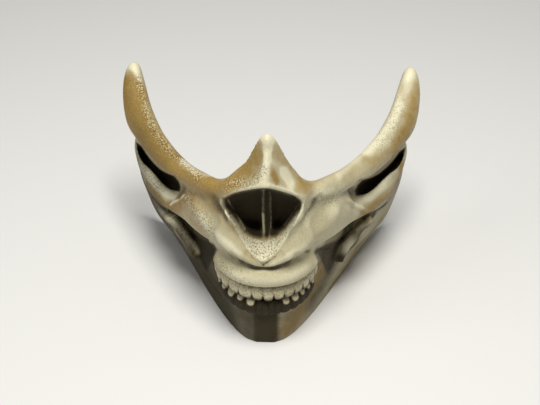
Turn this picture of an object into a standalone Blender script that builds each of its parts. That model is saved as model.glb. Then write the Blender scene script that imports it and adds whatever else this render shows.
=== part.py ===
"""A skull half mask: one thin cast shell and two rows of teeth, standing on its jaw.

The shell is modelled as a sculptor would block it out. A thin core follows the wearer's face,
and every bone that stands out from it is a slab of clay laid over it. The slabs are fused into one
skin, its openings are carved, and strokes raise its ridges and press its creases. The face looks
along -Y, +Z is up and the jaw's lower border rests on Z = 0. Tables are in millimetres and hold
the +X half, which is mirrored. Openings and strokes are placed by pixels of the photograph.
"""

import math

import bmesh
import bpy
import numpy as np
from mathutils import Vector
from mathutils.bvhtree import BVHTree

MM = 0.001

# Driving sizes, in millimetres.
WALL = 3.0
CLAY = 9.0
VOXEL = 1.1
SHELL_TRIANGLES = 7000
RING_SIDES = 28
STEP = 3.0
MIDDLE_Y = 1.05
INSIDE = np.array([0.0, 20.0, 60.0])

# The core in plan, level by level: its front, the corner of the chin, the side of the chin, the
# middle of its side and its rear edge.
CORE_COLUMNS = ("z", "front_y", "chin_x", "chin_y", "side_x", "side_y", "mid_x", "mid_y", "rear_x", "rear_y")
CORE = (
    (-2.0, -46.5, 6.0, -46.1, 15.0, -40.0, 31.0, -16.0, 56.0, 33.0),
    (2.0, -47.5, 6.2, -47.1, 15.1, -41.0, 31.3, -16.7, 61.0, 39.0),
    (6.0, -48.0, 6.3, -47.5, 15.3, -41.5, 31.5, -17.0, 65.5, 42.5),
    (13.0, -48.5, 6.5, -48.0, 16.0, -41.8, 32.5, -17.0, 70.0, 44.5),
    (23.0, -48.5, 7.0, -47.8, 17.0, -41.0, 34.0, -17.0, 72.8, 44.5),
    (34.0, -45.5, 8.0, -44.5, 17.0, -37.5, 35.0, -15.5, 75.0, 44.0),
    (47.0, -43.0, 8.0, -42.0, 18.0, -34.5, 35.5, -14.0, 76.5, 43.0),
    (60.0, -41.0, 8.0, -40.0, 18.0, -33.0, 37.5, -13.0, 76.5, 42.0),
    (74.0, -35.0, 8.0, -34.5, 18.0, -30.0, 40.0, -12.0, 75.0, 38.0),
    (84.0, -33.0, 8.0, -32.5, 18.0, -28.0, 42.0, -11.0, 73.0, 34.0),
    (89.0, -33.0, 8.0, -32.5, 18.0, -28.0, 43.0, -10.5, 71.5, 31.5),
)

# The hollow's own levels above the core, in the same columns.
HOLLOW_TOP = (
    (93.0, -33.0, 8.0, -32.5, 17.0, -29.0, 37.0, -12.0, 60.0, 24.0),
    (102.0, -36.5, 8.0, -36.0, 16.5, -32.0, 34.0, -15.0, 58.0, 24.0),
    (112.0, -41.0, 7.0, -40.0, 14.0, -36.0, 31.0, -18.0, 58.0, 24.0),
    (124.0, -44.0, 5.0, -42.5, 10.0, -38.5, 30.0, -18.0, 58.0, 24.0),
    (150.0, -44.0, 3.0, -43.5, 8.0, -41.0, 30.0, -18.0, 58.0, 24.0),
)

# Slabs. Each row gives two edges of the outer face, the thickness behind it and how far the
# middle of the face swells out.
SLAB_COLUMNS = ("ax", "ay", "az", "bx", "by", "bz", "thick", "crown")
HORN = (
    (17.0, -41.0, 109.0, 22.0, -42.0, 100.0, 6.0, 0.0),
    (24.0, -35.0, 106.5, 30.0, -34.5, 96.5, 7.0, 0.5),
    (31.0, -26.5, 103.5, 37.5, -25.0, 92.0, 7.0, 1.5),
    (39.5, -16.0, 100.0, 46.0, -14.0, 88.0, 7.0, 2.2),
    (48.3, -2.5, 97.5, 54.5, -1.5, 84.5, 7.0, 2.6),
    (57.0, 12.5, 97.5, 63.5, 12.5, 82.5, 7.5, 2.8),
    (62.9, 25.0, 99.0, 70.5, 25.0, 81.5, 8.0, 3.0),
    (66.8, 35.0, 101.0, 77.5, 36.0, 83.5, 8.5, 3.0),
    (69.7, 44.0, 104.8, 81.0, 45.5, 93.0, 8.5, 3.0),
    (71.9, 51.0, 109.5, 81.4, 52.0, 102.0, 8.0, 2.6),
    (73.6, 55.5, 112.8, 80.0, 56.5, 108.5, 6.0, 1.8),
    (75.6, 58.0, 113.4, 77.5, 58.2, 111.9, 2.5, 0.5),
)
ARCH = (
    (36.0, -26.0, 86.0, 35.5, -31.0, 64.0, 9.0, 2.0),
    (42.0, -16.5, 81.0, 43.5, -18.0, 61.0, 9.0, 3.2),
    (48.9, -5.5, 73.5, 51.5, -8.0, 58.0, 9.0, 3.4),
    (55.6, 4.0, 71.0, 58.4, 1.5, 55.0, 8.5, 3.2),
    (63.8, 13.5, 73.5, 66.8, 11.0, 55.0, 8.0, 2.6),
    (69.0, 23.8, 71.5, 71.8, 21.5, 56.0, 7.0, 2.0),
    (73.5, 32.5, 73.0, 76.3, 31.0, 61.0, 6.0, 1.5),
    (76.5, 36.0, 79.0, 78.3, 36.5, 68.0, 4.0, 0.8),
)
CHEEK = (
    (24.0, -36.5, 104.0, 24.5, -41.0, 66.0, 9.0, 1.0),
    (30.0, -29.5, 100.5, 32.0, -34.0, 63.5, 9.0, 5.0),
    (37.0, -21.5, 95.0, 40.5, -22.0, 60.5, 9.0, 5.0),
    (41.0, -16.0, 88.0, 45.0, -14.5, 59.5, 8.0, 3.0),
)
RAMUS = (
    (68.0, 24.0, 74.0, 77.5, 36.0, 80.0, 5.0, 0.5),
    (61.0, 7.0, 64.0, 79.2, 42.0, 62.0, 6.0, 1.0),
    (54.0, -5.5, 54.5, 79.4, 43.0, 47.0, 8.0, 1.2),
    (46.8, -9.0, 44.2, 77.8, 44.0, 33.5, 8.0, 1.0),
    (40.5, -12.0, 33.0, 74.8, 44.5, 20.0, 6.0, 1.0),
    (38.5, -8.0, 26.0, 71.5, 44.0, 11.0, 5.0, 0.6),
    (42.0, 2.0, 18.0, 67.0, 42.0, 6.0, 4.0, 0.3),
)
LIP_BAND = (
    (0.0, -52.3, 70.5, 0.0, -52.5, 63.5, 12.0, 1.0),
    (9.0, -50.8, 76.0, 9.5, -51.5, 64.0, 12.0, 1.2),
    (17.0, -47.5, 86.0, 18.0, -47.5, 66.0, 12.0, 1.5),
    (22.0, -43.0, 95.0, 24.0, -42.5, 66.0, 10.0, 2.0),
)
GUM = (
    (0.0, -51.5, 62.5, 0.0, -54.0, 49.0, 11.0, 3.0),
    (10.5, -50.3, 63.0, 11.5, -51.8, 49.0, 11.0, 3.0),
    (18.5, -46.0, 64.5, 20.5, -45.5, 49.0, 10.0, 3.0),
    (24.0, -39.5, 66.0, 26.3, -37.5, 49.0, 9.0, 2.5),
    (26.0, -31.0, 66.0, 28.8, -28.0, 49.0, 8.0, 2.0),
    (27.0, -22.0, 66.0, 30.0, -19.0, 49.0, 8.0, 1.0),
)

# The nose bridge: each row gives the edge of the bone and the ridge above it on the middle line.
NOSE_FILL = (
    (0.0, -53.0, 119.0, 0.0, -52.0, 64.0, 16.0, 0.0),
    (8.0, -52.0, 116.0, 9.0, -51.2, 66.0, 16.0, 0.0),
    (15.0, -50.6, 110.0, 15.0, -49.0, 72.0, 15.0, 0.0),
    (20.0, -48.4, 106.0, 19.0, -46.5, 78.0, 12.0, 0.0),
)

BRIDGE_COLUMNS = ("edge_x", "edge_y", "edge_z", "ridge_y", "ridge_z", "pinch")
BRIDGE = (
    (19.0, -49.8, 106.8, -56.8, 119.0, 1.0),
    (22.5, -42.0, 108.5, -56.2, 123.0, 1.25),
    (17.0, -41.5, 115.5, -54.2, 128.0, 1.3),
    (12.0, -42.8, 122.5, -52.2, 133.0, 1.25),
    (8.2, -43.8, 130.5, -50.2, 138.0, 1.1),
    (5.4, -44.6, 137.5, -48.6, 141.6, 1.0),
    (2.6, -45.4, 142.4, -47.0, 144.0, 1.0),
)
BRIDGE_THICK = 4.6
# Inside the nose: the plate down its middle and the scrolls on its side walls.

# The wall behind the teeth.
ALVEOLUS = (
    (0.0, -49.5, 52.0, 0.0, -49.5, 22.0, 9.0, 0.0),
    (10.6, -47.6, 52.0, 10.6, -47.6, 22.0, 9.0, 0.0),
    (18.6, -42.0, 52.0, 18.6, -42.0, 22.0, 9.0, 0.0),
    (23.6, -34.6, 52.0, 23.6, -34.6, 22.0, 9.0, 0.0),
    (26.2, -26.0, 52.0, 26.2, -26.0, 22.0, 9.0, 0.0),
    (27.5, -15.0, 52.0, 27.5, -15.0, 22.0, 9.0, 0.0),
)

# The rows of teeth in plan: the outer face of the upper row and its thickness.
TEETH_COLUMNS = ("x", "y", "thick")
TEETH = (
    (0.0, -53.2, 5.2),
    (11.3, -51.0, 5.0),
    (20.0, -44.8, 4.6),
    (25.6, -36.6, 4.2),
    (28.2, -27.5, 4.0),
    (29.2, -20.0, 4.0),
)
TEETH_TOP, BITE, TEETH_BOTTOM = 49.0, 38.0, 26.0
# Where each tooth ends along the row, from the middle.
UPPER_EDGES = (-39.5, -33.6, -27.6, -21.3, -14.3, -6.6, -0.8, 4.9, 10.7, 16.4, 22.3, 27.6, 33.2, 38.9)
LOWER_EDGES = (-38.5, -32.0, -25.2, -18.7, -11.4, -4.6, -1.3, 2.1, 5.7, 9.4, 15.6, 21.7, 27.3, 33.0, 38.4)
OVERBITE = 1.4
GAP = 0.3
TOOTH_PHASES = (0.0, 0.14, 0.34, 0.66, 0.86)
TOOTH_SIDES = 8

# The side of the nose, from the rim of its opening out to the cheek.
NOSE_SIDE = (
    (12.0, -51.5, 113.0, 23.0, -38.0, 107.0, 9.0, -0.5),
    (18.6, -49.6, 106.5, 27.5, -33.0, 103.0, 7.0, -0.6),
    (17.4, -49.2, 99.0, 29.5, -31.0, 97.0, 8.0, -1.0),
    (15.7, -49.0, 90.0, 30.5, -31.5, 87.0, 8.0, -1.2),
    (13.3, -49.6, 80.0, 29.5, -34.0, 76.0, 8.0, -0.8),
    (9.5, -51.0, 71.0, 26.0, -39.5, 67.0, 8.0, 0.0),
)
POCKET_BACK = (
    (0.0, -49.0, 127.0, 0.0, -33.0, 82.0, 8.0, 0.0),
    (8.0, -45.5, 121.0, 8.0, -32.5, 82.0, 8.0, 0.0),
    (16.0, -41.0, 110.5, 16.0, -30.0, 82.0, 8.0, 0.0),
    (23.0, -36.0, 99.5, 24.0, -26.0, 82.0, 7.0, 0.0),
    (30.0, -27.0, 93.5, 32.0, -19.0, 82.0, 7.0, 0.0),
    (38.0, -16.0, 89.5, 40.0, -11.0, 80.0, 6.0, 0.0),
)

# The photograph's camera: degrees round and above the mask, millimetres from the place it aims
# at, that place and its pixel, and the focal length in pixels.
CAMERA_TURN, CAMERA_ABOVE, CAMERA_AWAY = 2.2, 42.0, 480.0
AIM, AIM_PIXEL = (0.0, -12.0, 62.0), (267.2, 216.0)
FOCAL_PIXELS = 897.6

# Openings carved along the photograph's line of sight. Each level is a plane, given by a way and
# a distance along it, and the opening's outline on that plane in pixels of the photograph.
NOSE_RIM = (
    (266, 187.5), (281, 191), (295, 195.5), (302.5, 201), (301, 209), (293, 224), (283, 242), (273, 256),
    (263, 263.5), (253, 256), (243, 241.5), (232, 222), (222.5, 206), (222, 198.5), (232, 193.5),
    (248, 189.5),
)
NOSE_DARK = (
    (266, 187.5), (281, 191), (295, 195.5), (302, 201), (300, 209), (292, 220.5), (284, 230), (276, 236),
    (264, 239), (253, 237), (245, 232), (236, 221), (224.5, 206), (223, 199), (232, 193.5), (248, 189.5),
)
NOSE_LEFT = (
    (262, 188.5), (262.5, 211), (263, 232), (255, 232.5), (246, 228), (237, 217), (228, 207), (225.5, 200.5),
    (234, 195), (248, 190.5),
)
NOSE_RIGHT = (
    (271, 189), (283, 192.5), (294, 197), (300, 202), (297, 210), (289, 220), (282, 229), (272, 232.5),
    (271.5, 211),
)
SLOT = (
    (136, 141), (141.9, 145.8), (147.5, 154.8), (153, 162), (159.5, 168.6), (166, 172.6), (174.4, 175.6),
    (179, 181), (181, 187), (179.5, 191.8), (170, 188.8), (163.2, 183.2), (156.5, 175.6), (149.7, 168),
    (143, 162), (139, 154), (137, 147),
)
SLOT_DEEP = (
    (140, 147), (147, 156.5), (154, 165), (162, 172), (174, 177.5), (178, 182), (179, 186), (177.5, 189.5),
    (170, 186.5), (162, 180), (154, 171), (147, 162.5), (141.5, 153),
)
CHEEK_GAP = (
    (179, 217.5), (186, 225), (193, 232), (200, 237), (208, 240.5), (214, 244), (217.5, 249.5), (213.6, 256),
    (210, 265), (207, 272), (202, 264), (199.5, 256), (197.5, 246), (191, 235.5), (184, 226),
)
FRONT = (0.0, -1.0, 0.0)
SLOPED = (0.0, -0.993, 0.119)
SIDE = (-0.824, -0.567, 0.0)
CHEEK_SIDE = (-0.812, -0.584, 0.0)
RAKED = (0.0, -0.981, -0.196)
OPENINGS = (
    ((SLOPED, 90.0, NOSE_RIM, 1.0), (SLOPED, 59.5, NOSE_RIM, 1.0), (FRONT, 43.0, NOSE_DARK, 1.0)),
    ((FRONT, 50.0, NOSE_LEFT, 1.0), (RAKED, 20.6, NOSE_LEFT, 0.8)),
    ((FRONT, 50.0, NOSE_RIGHT, 1.0), (RAKED, 20.6, NOSE_RIGHT, 0.8)),
    ((SIDE, 60.0, SLOT, 1.0), (SIDE, 42.5, SLOT, 1.0), (SIDE, 39.0, SLOT_DEEP, 1.0)),
    (
        (CHEEK_SIDE, 60.0, CHEEK_GAP, 1.0),
        (CHEEK_SIDE, 39.5, CHEEK_GAP, 1.0),
        (CHEEK_SIDE, 36.6, CHEEK_GAP, 0.85),
    ),
)

# Strokes of the modelling tool, placed by pixels of the photograph's frame on its left half and
# mirrored to the right. Each gives its reach, its height in millimetres and its line. A sharp
# one has a peaked section and a soft one a rounded section.
RIDGES = (
    ("soft", 4.0, 0.9, ((134, 64), (143, 87), (144, 107), (153, 124), (166, 142), (179, 157), (194, 172))),
    ("sharp", 2.4, 0.8, ((137, 168), (142, 179), (151, 193), (163, 204), (169, 207))),
    ("soft", 1.8, 0.9, ((170, 205), (177, 201), (185, 196))),
    ("soft", 3.2, 4.6, ((169, 213), (177, 221), (184, 231.5), (190, 240), (195, 248), (198, 254))),
    ("soft", 9.0, 1.5, ((198, 210), (210, 226), (224, 240), (236, 250))),
    ("soft", 4.5, 0.9, ((226, 242), (238, 252), (250, 259.5), (263, 265.5))),
    ("sharp", 1.6, 0.8, ((222, 199), (221, 204), (225, 211), (233, 223), (241, 237), (251, 252), (261, 262))),
    ("sharp", 1.8, 0.5, ((223, 196.5), (232, 191.5), (245, 188), (256, 186), (267, 185.5))),
    ("soft", 3.0, 0.6, ((213, 262), (219, 275), (230, 284), (245, 290))),
    ("sharp", 2.6, 0.4, ((256, 314), (256, 322), (256, 332), (256, 341))),
)
CREASES = (
    ("soft", 4.5, -1.3, ((213, 196), (217, 205), (223, 214), (230, 225), (238, 236), (245, 246))),
    ("sharp", 2.0, -1.6, ((171, 211), (178, 217.5), (186, 226), (193, 235))),
    ("sharp", 2.2, -1.9, ((248, 252.5), (256, 259), (263, 264))),
    ("soft", 2.4, -0.9, ((231, 253), (241, 261), (252, 266.5), (263, 268.5))),
    ("sharp", 1.3, -0.6, ((168, 203), (175, 199), (181, 195))),
    ("soft", 2.0, -0.7, ((172, 209), (180, 204.5), (187, 200))),
    ("sharp", 2.2, -1.6, ((139, 170), (144, 183), (153, 198), (163, 208), (171, 211))),
    ("soft", 2.6, -0.7, ((204, 273), (213, 285), (221, 296))),
    ("soft", 5.0, -0.7, ((236, 181), (246, 173), (254, 162), (260, 150))),
    ("soft", 2.4, -0.6, ((141, 172), (150, 186), (161, 197), (170, 201))),
)
# Places where the forms run into each other: reach, rounds of filling and the line.
BLENDS = (
    (9.0, 70, ((217, 206), (218, 222), (220, 238), (222, 252))),
    (7.0, 45, ((222, 252), (232, 259), (243, 266), (254, 270), (267, 271))),
    (8.0, 40, ((219, 180), (226, 188), (221, 192))),
    (6.0, 40, ((228, 250), (236, 244), (243, 252))),
)


def clear_scene():
    for old in list(bpy.data.objects):
        bpy.data.objects.remove(old)


def smooth_rows(rows, step=STEP, lead=slice(0, 3)):
    """The table's rows with more rows between them, on a Catmull-Rom curve through them."""
    table = np.array(rows, float)
    before = np.vstack([2 * table[0] - table[1], table, 2 * table[-1] - table[-2]])
    found = []
    for i in range(len(table) - 1):
        p0, p1, p2, p3 = before[i : i + 4]
        steps = max(2, int(np.linalg.norm((p2 - p1)[lead]) / step))
        for t in np.linspace(0, 1, steps, endpoint=False):
            found.append(
                0.5
                * (
                    2 * p1
                    + (p2 - p0) * t
                    + (2 * p0 - 5 * p1 + 4 * p2 - p3) * t**2
                    + (3 * p1 - p0 - 3 * p2 + p3) * t**3
                )
            )
    found.append(table[-1])
    return np.array(found)


def rolled(rings):
    """A closed bmesh through these rings of points, in millimetres: a grid rolled into a tube and capped."""
    rings = np.array(rings, float) - [0.0, MIDDLE_Y, 0.0]
    count, sides = rings.shape[:2]
    made = bmesh.new()
    bmesh.ops.create_grid(made, x_segments=sides, y_segments=count - 1, size=1)
    for i, vertex in enumerate(made.verts):
        row, column = divmod(i, sides + 1)
        vertex.co = Vector(rings[row, column % sides] * MM)
    bmesh.ops.remove_doubles(made, verts=made.verts, dist=0.01 * MM)
    bmesh.ops.holes_fill(made, edges=made.edges, sides=0)
    bmesh.ops.recalc_face_normals(made, faces=made.faces)
    return made


def unit(v):
    return v / max(np.linalg.norm(v), 1e-9)


def slab_rings(rows, squareness=3.0, behind=1.0):
    """Rings of a slab. Each row gives its edges a and b and this much of its thickness lies behind them."""
    rows = smooth_rows(rows)
    a, b, thick, crown = rows[:, 0:3], rows[:, 3:6], rows[:, 6], rows[:, 7]
    middle = (a + b) / 2
    along = np.gradient(middle, axis=0)
    angles = np.linspace(0, 2 * math.pi, RING_SIDES, endpoint=False)
    across = np.sign(np.cos(angles)) * np.abs(np.cos(angles)) ** (2 / squareness)
    through = np.sign(np.sin(angles)) * np.abs(np.sin(angles)) ** (2 / squareness)
    rings = []
    for i in range(len(rows)):
        half = (b[i] - a[i]) / 2
        outward = unit(np.cross(along[i], half))
        if outward @ (middle[i] - INSIDE) < 0:
            outward = -outward
        swell = crown[i] * (1 - across**2)
        depth = thick[i] * ((through + 1) / 2 - behind)
        out = np.outer(swell * (through + 1) / 2 + depth, outward)
        rings.append(middle[i] + np.outer(across, half) + out)
    return rings


def mirrored(rings):
    return np.array(rings) * np.array([-1.0, 1.0, 1.0])


def whole(rows):
    """A table that starts on the middle line, carried on to the other half."""
    rows = np.array(rows, float)
    other = rows[:0:-1].copy()
    other[:, [0, 3]] *= -1
    return np.vstack([other, rows])


def bridge_rings():
    """Rings of the nose bridge, each from one edge over the ridge to the other and back behind."""
    spread = np.sin(np.linspace(-1, 1, 23) * math.pi / 2)
    back = np.array([0, 0.74, -0.67])
    rings = []
    for edge_x, edge_y, edge_z, ridge_y, ridge_z, pinch in smooth_rows(BRIDGE):
        edge = np.array([0, edge_y, edge_z])
        ridge = np.array([0, ridge_y, ridge_z])
        rise = (1 - (np.sqrt(spread**2 + 0.01) - 0.1) / (math.sqrt(1.01) - 0.1)) ** pinch
        line = edge + np.outer(rise, ridge - edge)
        line[:, 0] = edge_x * spread
        thick = BRIDGE_THICK * (0.25 + 0.75 * np.sqrt(1 - spread**2))
        rings.append(np.vstack([line, (line + np.outer(thick, back))[::-1]]))
    return rings


def core_outline(level, inset=0.0):
    """The core's outer line in plan at one level, from its rear edge on -X round the front to +X."""
    z, front_y, chin_x, chin_y, side_x, side_y, mid_x, mid_y, rear_x, rear_y = level
    half = np.array([(0, front_y), (chin_x, chin_y), (side_x, side_y), (mid_x, mid_y), (rear_x, rear_y)])
    points = np.vstack([half[:0:-1] * [-1, 1], half])
    line = smooth_rows(points, step=4.0, lead=slice(0, 2))
    if inset:
        tangent = np.gradient(line, axis=0)
        normal = np.stack([-tangent[:, 1], tangent[:, 0]], axis=1)
        normal /= np.linalg.norm(normal, axis=1)[:, None]
        line = line + normal * inset
    return np.column_stack([line, np.full(len(line), z)])


def core_rings():
    """Rings of the core, thin and open behind: out along its outer face and back along its inner face."""
    rings = []
    count = None
    for level in smooth_rows(CORE, step=4.0, lead=slice(0, 1)):
        outer = core_outline(level)
        inner = core_outline(level, CLAY)
        outer, inner = (resample(line, 61) for line in (outer, inner))
        rings.append(np.vstack([outer, inner[::-1]]))
    return rings


def resample(line, count):
    """The line with count points, evenly spaced along it."""
    lengths = np.concatenate([[0], np.cumsum(np.linalg.norm(np.diff(line, axis=0), axis=1))])
    even = np.linspace(0, lengths[-1], count)
    return np.stack([np.interp(even, lengths, line[:, k]) for k in range(3)], axis=1)


def cavity_rings():
    """Rings of the hollow for the wearer's face, open behind and above."""
    lines = [core_outline(level, WALL) for level in CORE]
    lines += [core_outline(level) for level in HOLLOW_TOP]
    lines = smooth_rows([resample(line, 45).ravel() for line in lines], step=5.0, lead=slice(2, 3))
    lines[0][2::3] -= 10.0
    rings = []
    for line in lines.reshape(len(lines), -1, 3):
        far = line[[-1, 0]].copy()
        far[:, 1] = 95.0
        far[:, 0] *= np.interp(far[:, 2], (84.0, 93.0), (1.15, 1.0))
        rings.append(np.vstack([line, far]))
    return rings


def clay():
    """Every form of the shell as closed rings of points."""
    forms = [core_rings(), bridge_rings()]
    for table in (LIP_BAND, GUM, NOSE_FILL, POCKET_BACK, ALVEOLUS):
        forms.append(slab_rings(whole(table)))
    for table in (NOSE_SIDE, HORN, ARCH, CHEEK, RAMUS):
        rings = slab_rings(table, behind=0.5 if table is HORN else 1.0)
        forms += [rings, mirrored(rings)]
    return forms


def camera_axes():
    """The photograph's camera: ways to its right, up in its picture and back towards it."""
    turn, above = math.radians(CAMERA_TURN), math.radians(CAMERA_ABOVE)
    back = np.array([math.sin(turn) * math.cos(above), -math.cos(turn) * math.cos(above), math.sin(above)])
    right = np.array([math.cos(turn), math.sin(turn), 0.0])
    return right, np.cross(back, right), back


def camera_place():
    return np.array(AIM) + camera_axes()[2] * CAMERA_AWAY


def pixel_way(x, y):
    right, up, back = camera_axes()
    return unit(right * (x - AIM_PIXEL[0]) / FOCAL_PIXELS - up * (y - AIM_PIXEL[1]) / FOCAL_PIXELS - back)


def opening_rings(levels):
    """Rings of an opening from in front of the mask to its bottom."""
    start = camera_place()
    rings = []
    for way, distance, pixels, scale in levels:
        way = np.array(way)
        pixels = np.array(pixels, float)
        loop = smooth_rows(np.vstack([pixels[-1:], pixels, pixels[:2]]), step=3.0, lead=slice(0, 2))
        first = np.argmin(np.linalg.norm(loop - pixels[0], axis=1))
        last = first + 1 + np.argmin(np.linalg.norm(loop[first + 1 :] - pixels[0], axis=1))
        loop = loop[first : last + 1]
        middle = loop.mean(axis=0)
        loop = resample(np.column_stack([middle + (loop - middle) * scale, np.zeros(len(loop))]), 41)[:-1]
        ring = []
        for x, y, _ in loop:
            ray = pixel_way(x, y)
            ring.append(start + ray * ((distance - way @ start) / (way @ ray)))
        rings.append(ring)
    return np.array(rings)


def add_object(name, mesh):
    made = bpy.data.objects.new(name, mesh)
    bpy.context.scene.collection.objects.link(made)
    return made


def mesh_from(name, rings_list):
    """One mesh holding these forms side by side, not yet fused."""
    mesh = bpy.data.meshes.new(name)
    joined = bmesh.new()
    for rings in rings_list:
        form = rolled(rings)
        form.to_mesh(mesh)
        form.free()
        joined.from_mesh(mesh)
    joined.to_mesh(mesh)
    joined.free()
    return mesh


def add_cutter(name, rings):
    cutter = add_object(name, mesh_from(name, [rings]))
    cutter.hide_render = True
    cutter.display_type = "WIRE"
    return cutter


def cut(piece, cutter):
    modifier = piece.modifiers.new("cut " + cutter.name, "BOOLEAN")
    modifier.object = cutter
    modifier.operation = "DIFFERENCE"
    modifier.solver = "EXACT"


def largest_island(mesh):
    """Keeps the outermost skin of a fused mesh and drops the skins of pockets sealed inside it."""
    work = bmesh.new()
    work.from_mesh(mesh)
    left = set(work.verts)
    islands = []
    while left:
        island = {left.pop()}
        front = list(island)
        while front:
            for edge in front.pop().link_edges:
                for vertex in edge.verts:
                    if vertex in left:
                        left.discard(vertex)
                        island.add(vertex)
                        front.append(vertex)
        islands.append(island)
    islands.sort(key=len)
    for island in islands[:-1]:
        bmesh.ops.delete(work, geom=list(island), context="VERTS")
    work.to_mesh(mesh)
    work.free()


def baked(piece):
    """The piece's mesh with its modifiers worked out."""
    graph = bpy.context.evaluated_depsgraph_get()
    graph.update()
    mesh = bpy.data.meshes.new_from_object(piece.evaluated_get(graph))
    piece.modifiers.clear()
    piece.data = mesh
    return mesh


def softened(mesh, rounds, keep):
    """Fills the creases between forms like a thumb on clay, and wears ridges down only a little."""
    count = len(mesh.vertices)
    edges = np.empty(len(mesh.edges) * 2, dtype=np.int32)
    mesh.edges.foreach_get("vertices", edges)
    edges = edges.reshape(-1, 2)
    degree = np.bincount(edges.ravel(), minlength=count)[:, None]
    flat = np.empty(count * 3)
    mesh.vertices.foreach_get("co", flat)
    places = flat.reshape(-1, 3)
    for _ in range(rounds):
        mesh.vertices.foreach_set("co", places.ravel())
        mesh.update()
        normals = np.empty(count * 3)
        mesh.vertices.foreach_get("normal", normals)
        normals = normals.reshape(-1, 3)
        total = np.stack(
            [
                np.bincount(edges[:, 0], places[edges[:, 1], k], count)
                + np.bincount(edges[:, 1], places[edges[:, 0], k], count)
                for k in range(3)
            ],
            axis=1,
        )
        move = total / degree - places
        outward = (move * normals).sum(axis=1)
        places = places + move * np.where(outward > 0, 0.5, 0.5 * keep)[:, None]
    mesh.vertices.foreach_set("co", places.ravel())
    mesh.update()


def line_on(tree, pixels):
    """The places, in millimetres, where a line of pixels falls on the mask."""
    origin = Vector((camera_place() - [0, MIDDLE_Y, 0]) * MM)
    found = []
    for x, y in pixels:
        hit = tree.ray_cast(origin, Vector(pixel_way(x, y)))[0]
        if hit is not None:
            found.append(np.array(hit) / MM)
    return found


def finer_line(points, step=1.0):
    if len(points) < 2:
        return np.array(points)
    return smooth_rows(points, step=step)


def nearness(places, line, reach):
    """From 1 on the line to 0 at its reach, for each place."""
    near = np.zeros(len(places))
    low, high = line.min(axis=0) - reach, line.max(axis=0) + reach
    chosen = np.where(((places > low) & (places < high)).all(axis=1))[0]
    if not len(chosen):
        return near
    local = places[chosen]
    best = np.full(len(chosen), np.inf)
    for a, b in zip(line[:-1], line[1:]):
        run = b - a
        t = np.clip((local - a) @ run / max(run @ run, 1e-9), 0, 1)
        best = np.minimum(best, np.linalg.norm(local - a - t[:, None] * run, axis=1))
    near[chosen] = np.clip(1 - best / reach, 0, 1)
    return near


def places_of(mesh):
    flat = np.empty(len(mesh.vertices) * 3)
    mesh.vertices.foreach_get("co", flat)
    return flat.reshape(-1, 3) / MM


def normals_of(mesh):
    flat = np.empty(len(mesh.vertices) * 3)
    mesh.vertices.foreach_get("normal", flat)
    return flat.reshape(-1, 3)


def set_places(mesh, places):
    mesh.vertices.foreach_set("co", (places * MM).ravel())
    mesh.update()


def neighbour_mean(values, edges, degree):
    count = len(values)
    return np.stack(
        [
            np.bincount(edges[:, 0], values[edges[:, 1], k], count)
            + np.bincount(edges[:, 1], values[edges[:, 0], k], count)
            for k in range(values.shape[1])
        ],
        axis=1,
    ) / degree


def edge_table(mesh):
    edges = np.empty(len(mesh.edges) * 2, dtype=np.int32)
    mesh.edges.foreach_get("vertices", edges)
    edges = edges.reshape(-1, 2)
    degree = np.maximum(np.bincount(edges.ravel(), minlength=len(mesh.vertices)), 1)[:, None]
    return edges, degree


def work_stroke(mesh, places, normals, line, kind, reach, height):
    near = nearness(places, line, reach)
    shape = near**1.6 if kind == "sharp" else near * near * (3 - 2 * near)
    return places + normals * (height * shape)[:, None]


def modelled(mesh, strokes):
    tree = BVHTree.FromPolygons(
        [v.co for v in mesh.vertices], [tuple(p.vertices) for p in mesh.polygons]
    )
    places, normals = places_of(mesh), normals_of(mesh)
    for kind, reach, height, pixels in strokes:
        line = finer_line(line_on(tree, pixels))
        if len(line) < 2:
            continue
        for side in (1, -1):
            places = work_stroke(mesh, places, normals, line * [side, 1, 1], kind, reach, height)
    set_places(mesh, places)


def blended(mesh, lines):
    """Fills the hollows along these lines on both halves, until the forms beside them run together."""
    tree = BVHTree.FromPolygons(
        [v.co for v in mesh.vertices], [tuple(p.vertices) for p in mesh.polygons]
    )
    places = places_of(mesh)
    last = np.zeros(len(places))
    for reach, rounds, pixels in lines:
        line = finer_line(line_on(tree, pixels))
        near = np.maximum(nearness(places, line, reach), nearness(places, line * [-1, 1, 1], reach))
        last = np.maximum(last, rounds * np.clip(near * 2, 0, 1))
    edges = edge_table(mesh)[0]
    edges = edges[(last[edges] > 0).any(axis=1)]
    used, local = np.unique(edges, return_inverse=True)
    local = local.reshape(-1, 2)
    degree = np.bincount(local.ravel(), minlength=len(used))[:, None]
    for i in range(int(last.max())):
        if i % 8 == 0:
            set_places(mesh, places)
            normals = normals_of(mesh)[used]
        move = neighbour_mean(places[used], local, degree) - places[used]
        outward = (move * normals).sum(axis=1)
        weight = np.clip(last[used] - i, 0, 1) * np.where(outward > 0, 0.6, 0.1)
        places[used] += move * weight[:, None]
    set_places(mesh, places)


def teeth_plan(step=0.5):
    """The teeth's outer face in plan: length along it from the middle, place, way out, thickness."""
    half = np.array(TEETH, float)
    line = smooth_rows(np.vstack([half[:0:-1] * [-1, 1, 1], half]), step=step, lead=slice(0, 2))
    along = np.gradient(line[:, :2], axis=0)
    along /= np.linalg.norm(along, axis=1)[:, None]
    out = np.stack([along[:, 1], -along[:, 0]], axis=1)
    length = np.concatenate([[0], np.cumsum(np.linalg.norm(np.diff(line[:, :2], axis=0), axis=1))])
    return length - length[-1] / 2, line[:, :2], out, line[:, 2]


def along_teeth(s, length, line, out, thick):
    place = np.array([np.interp(s, length, line[:, k]) for k in range(2)])
    way = unit(np.array([np.interp(s, length, out[:, k]) for k in range(2)]))
    return place, way, np.interp(s, length, thick)


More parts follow.
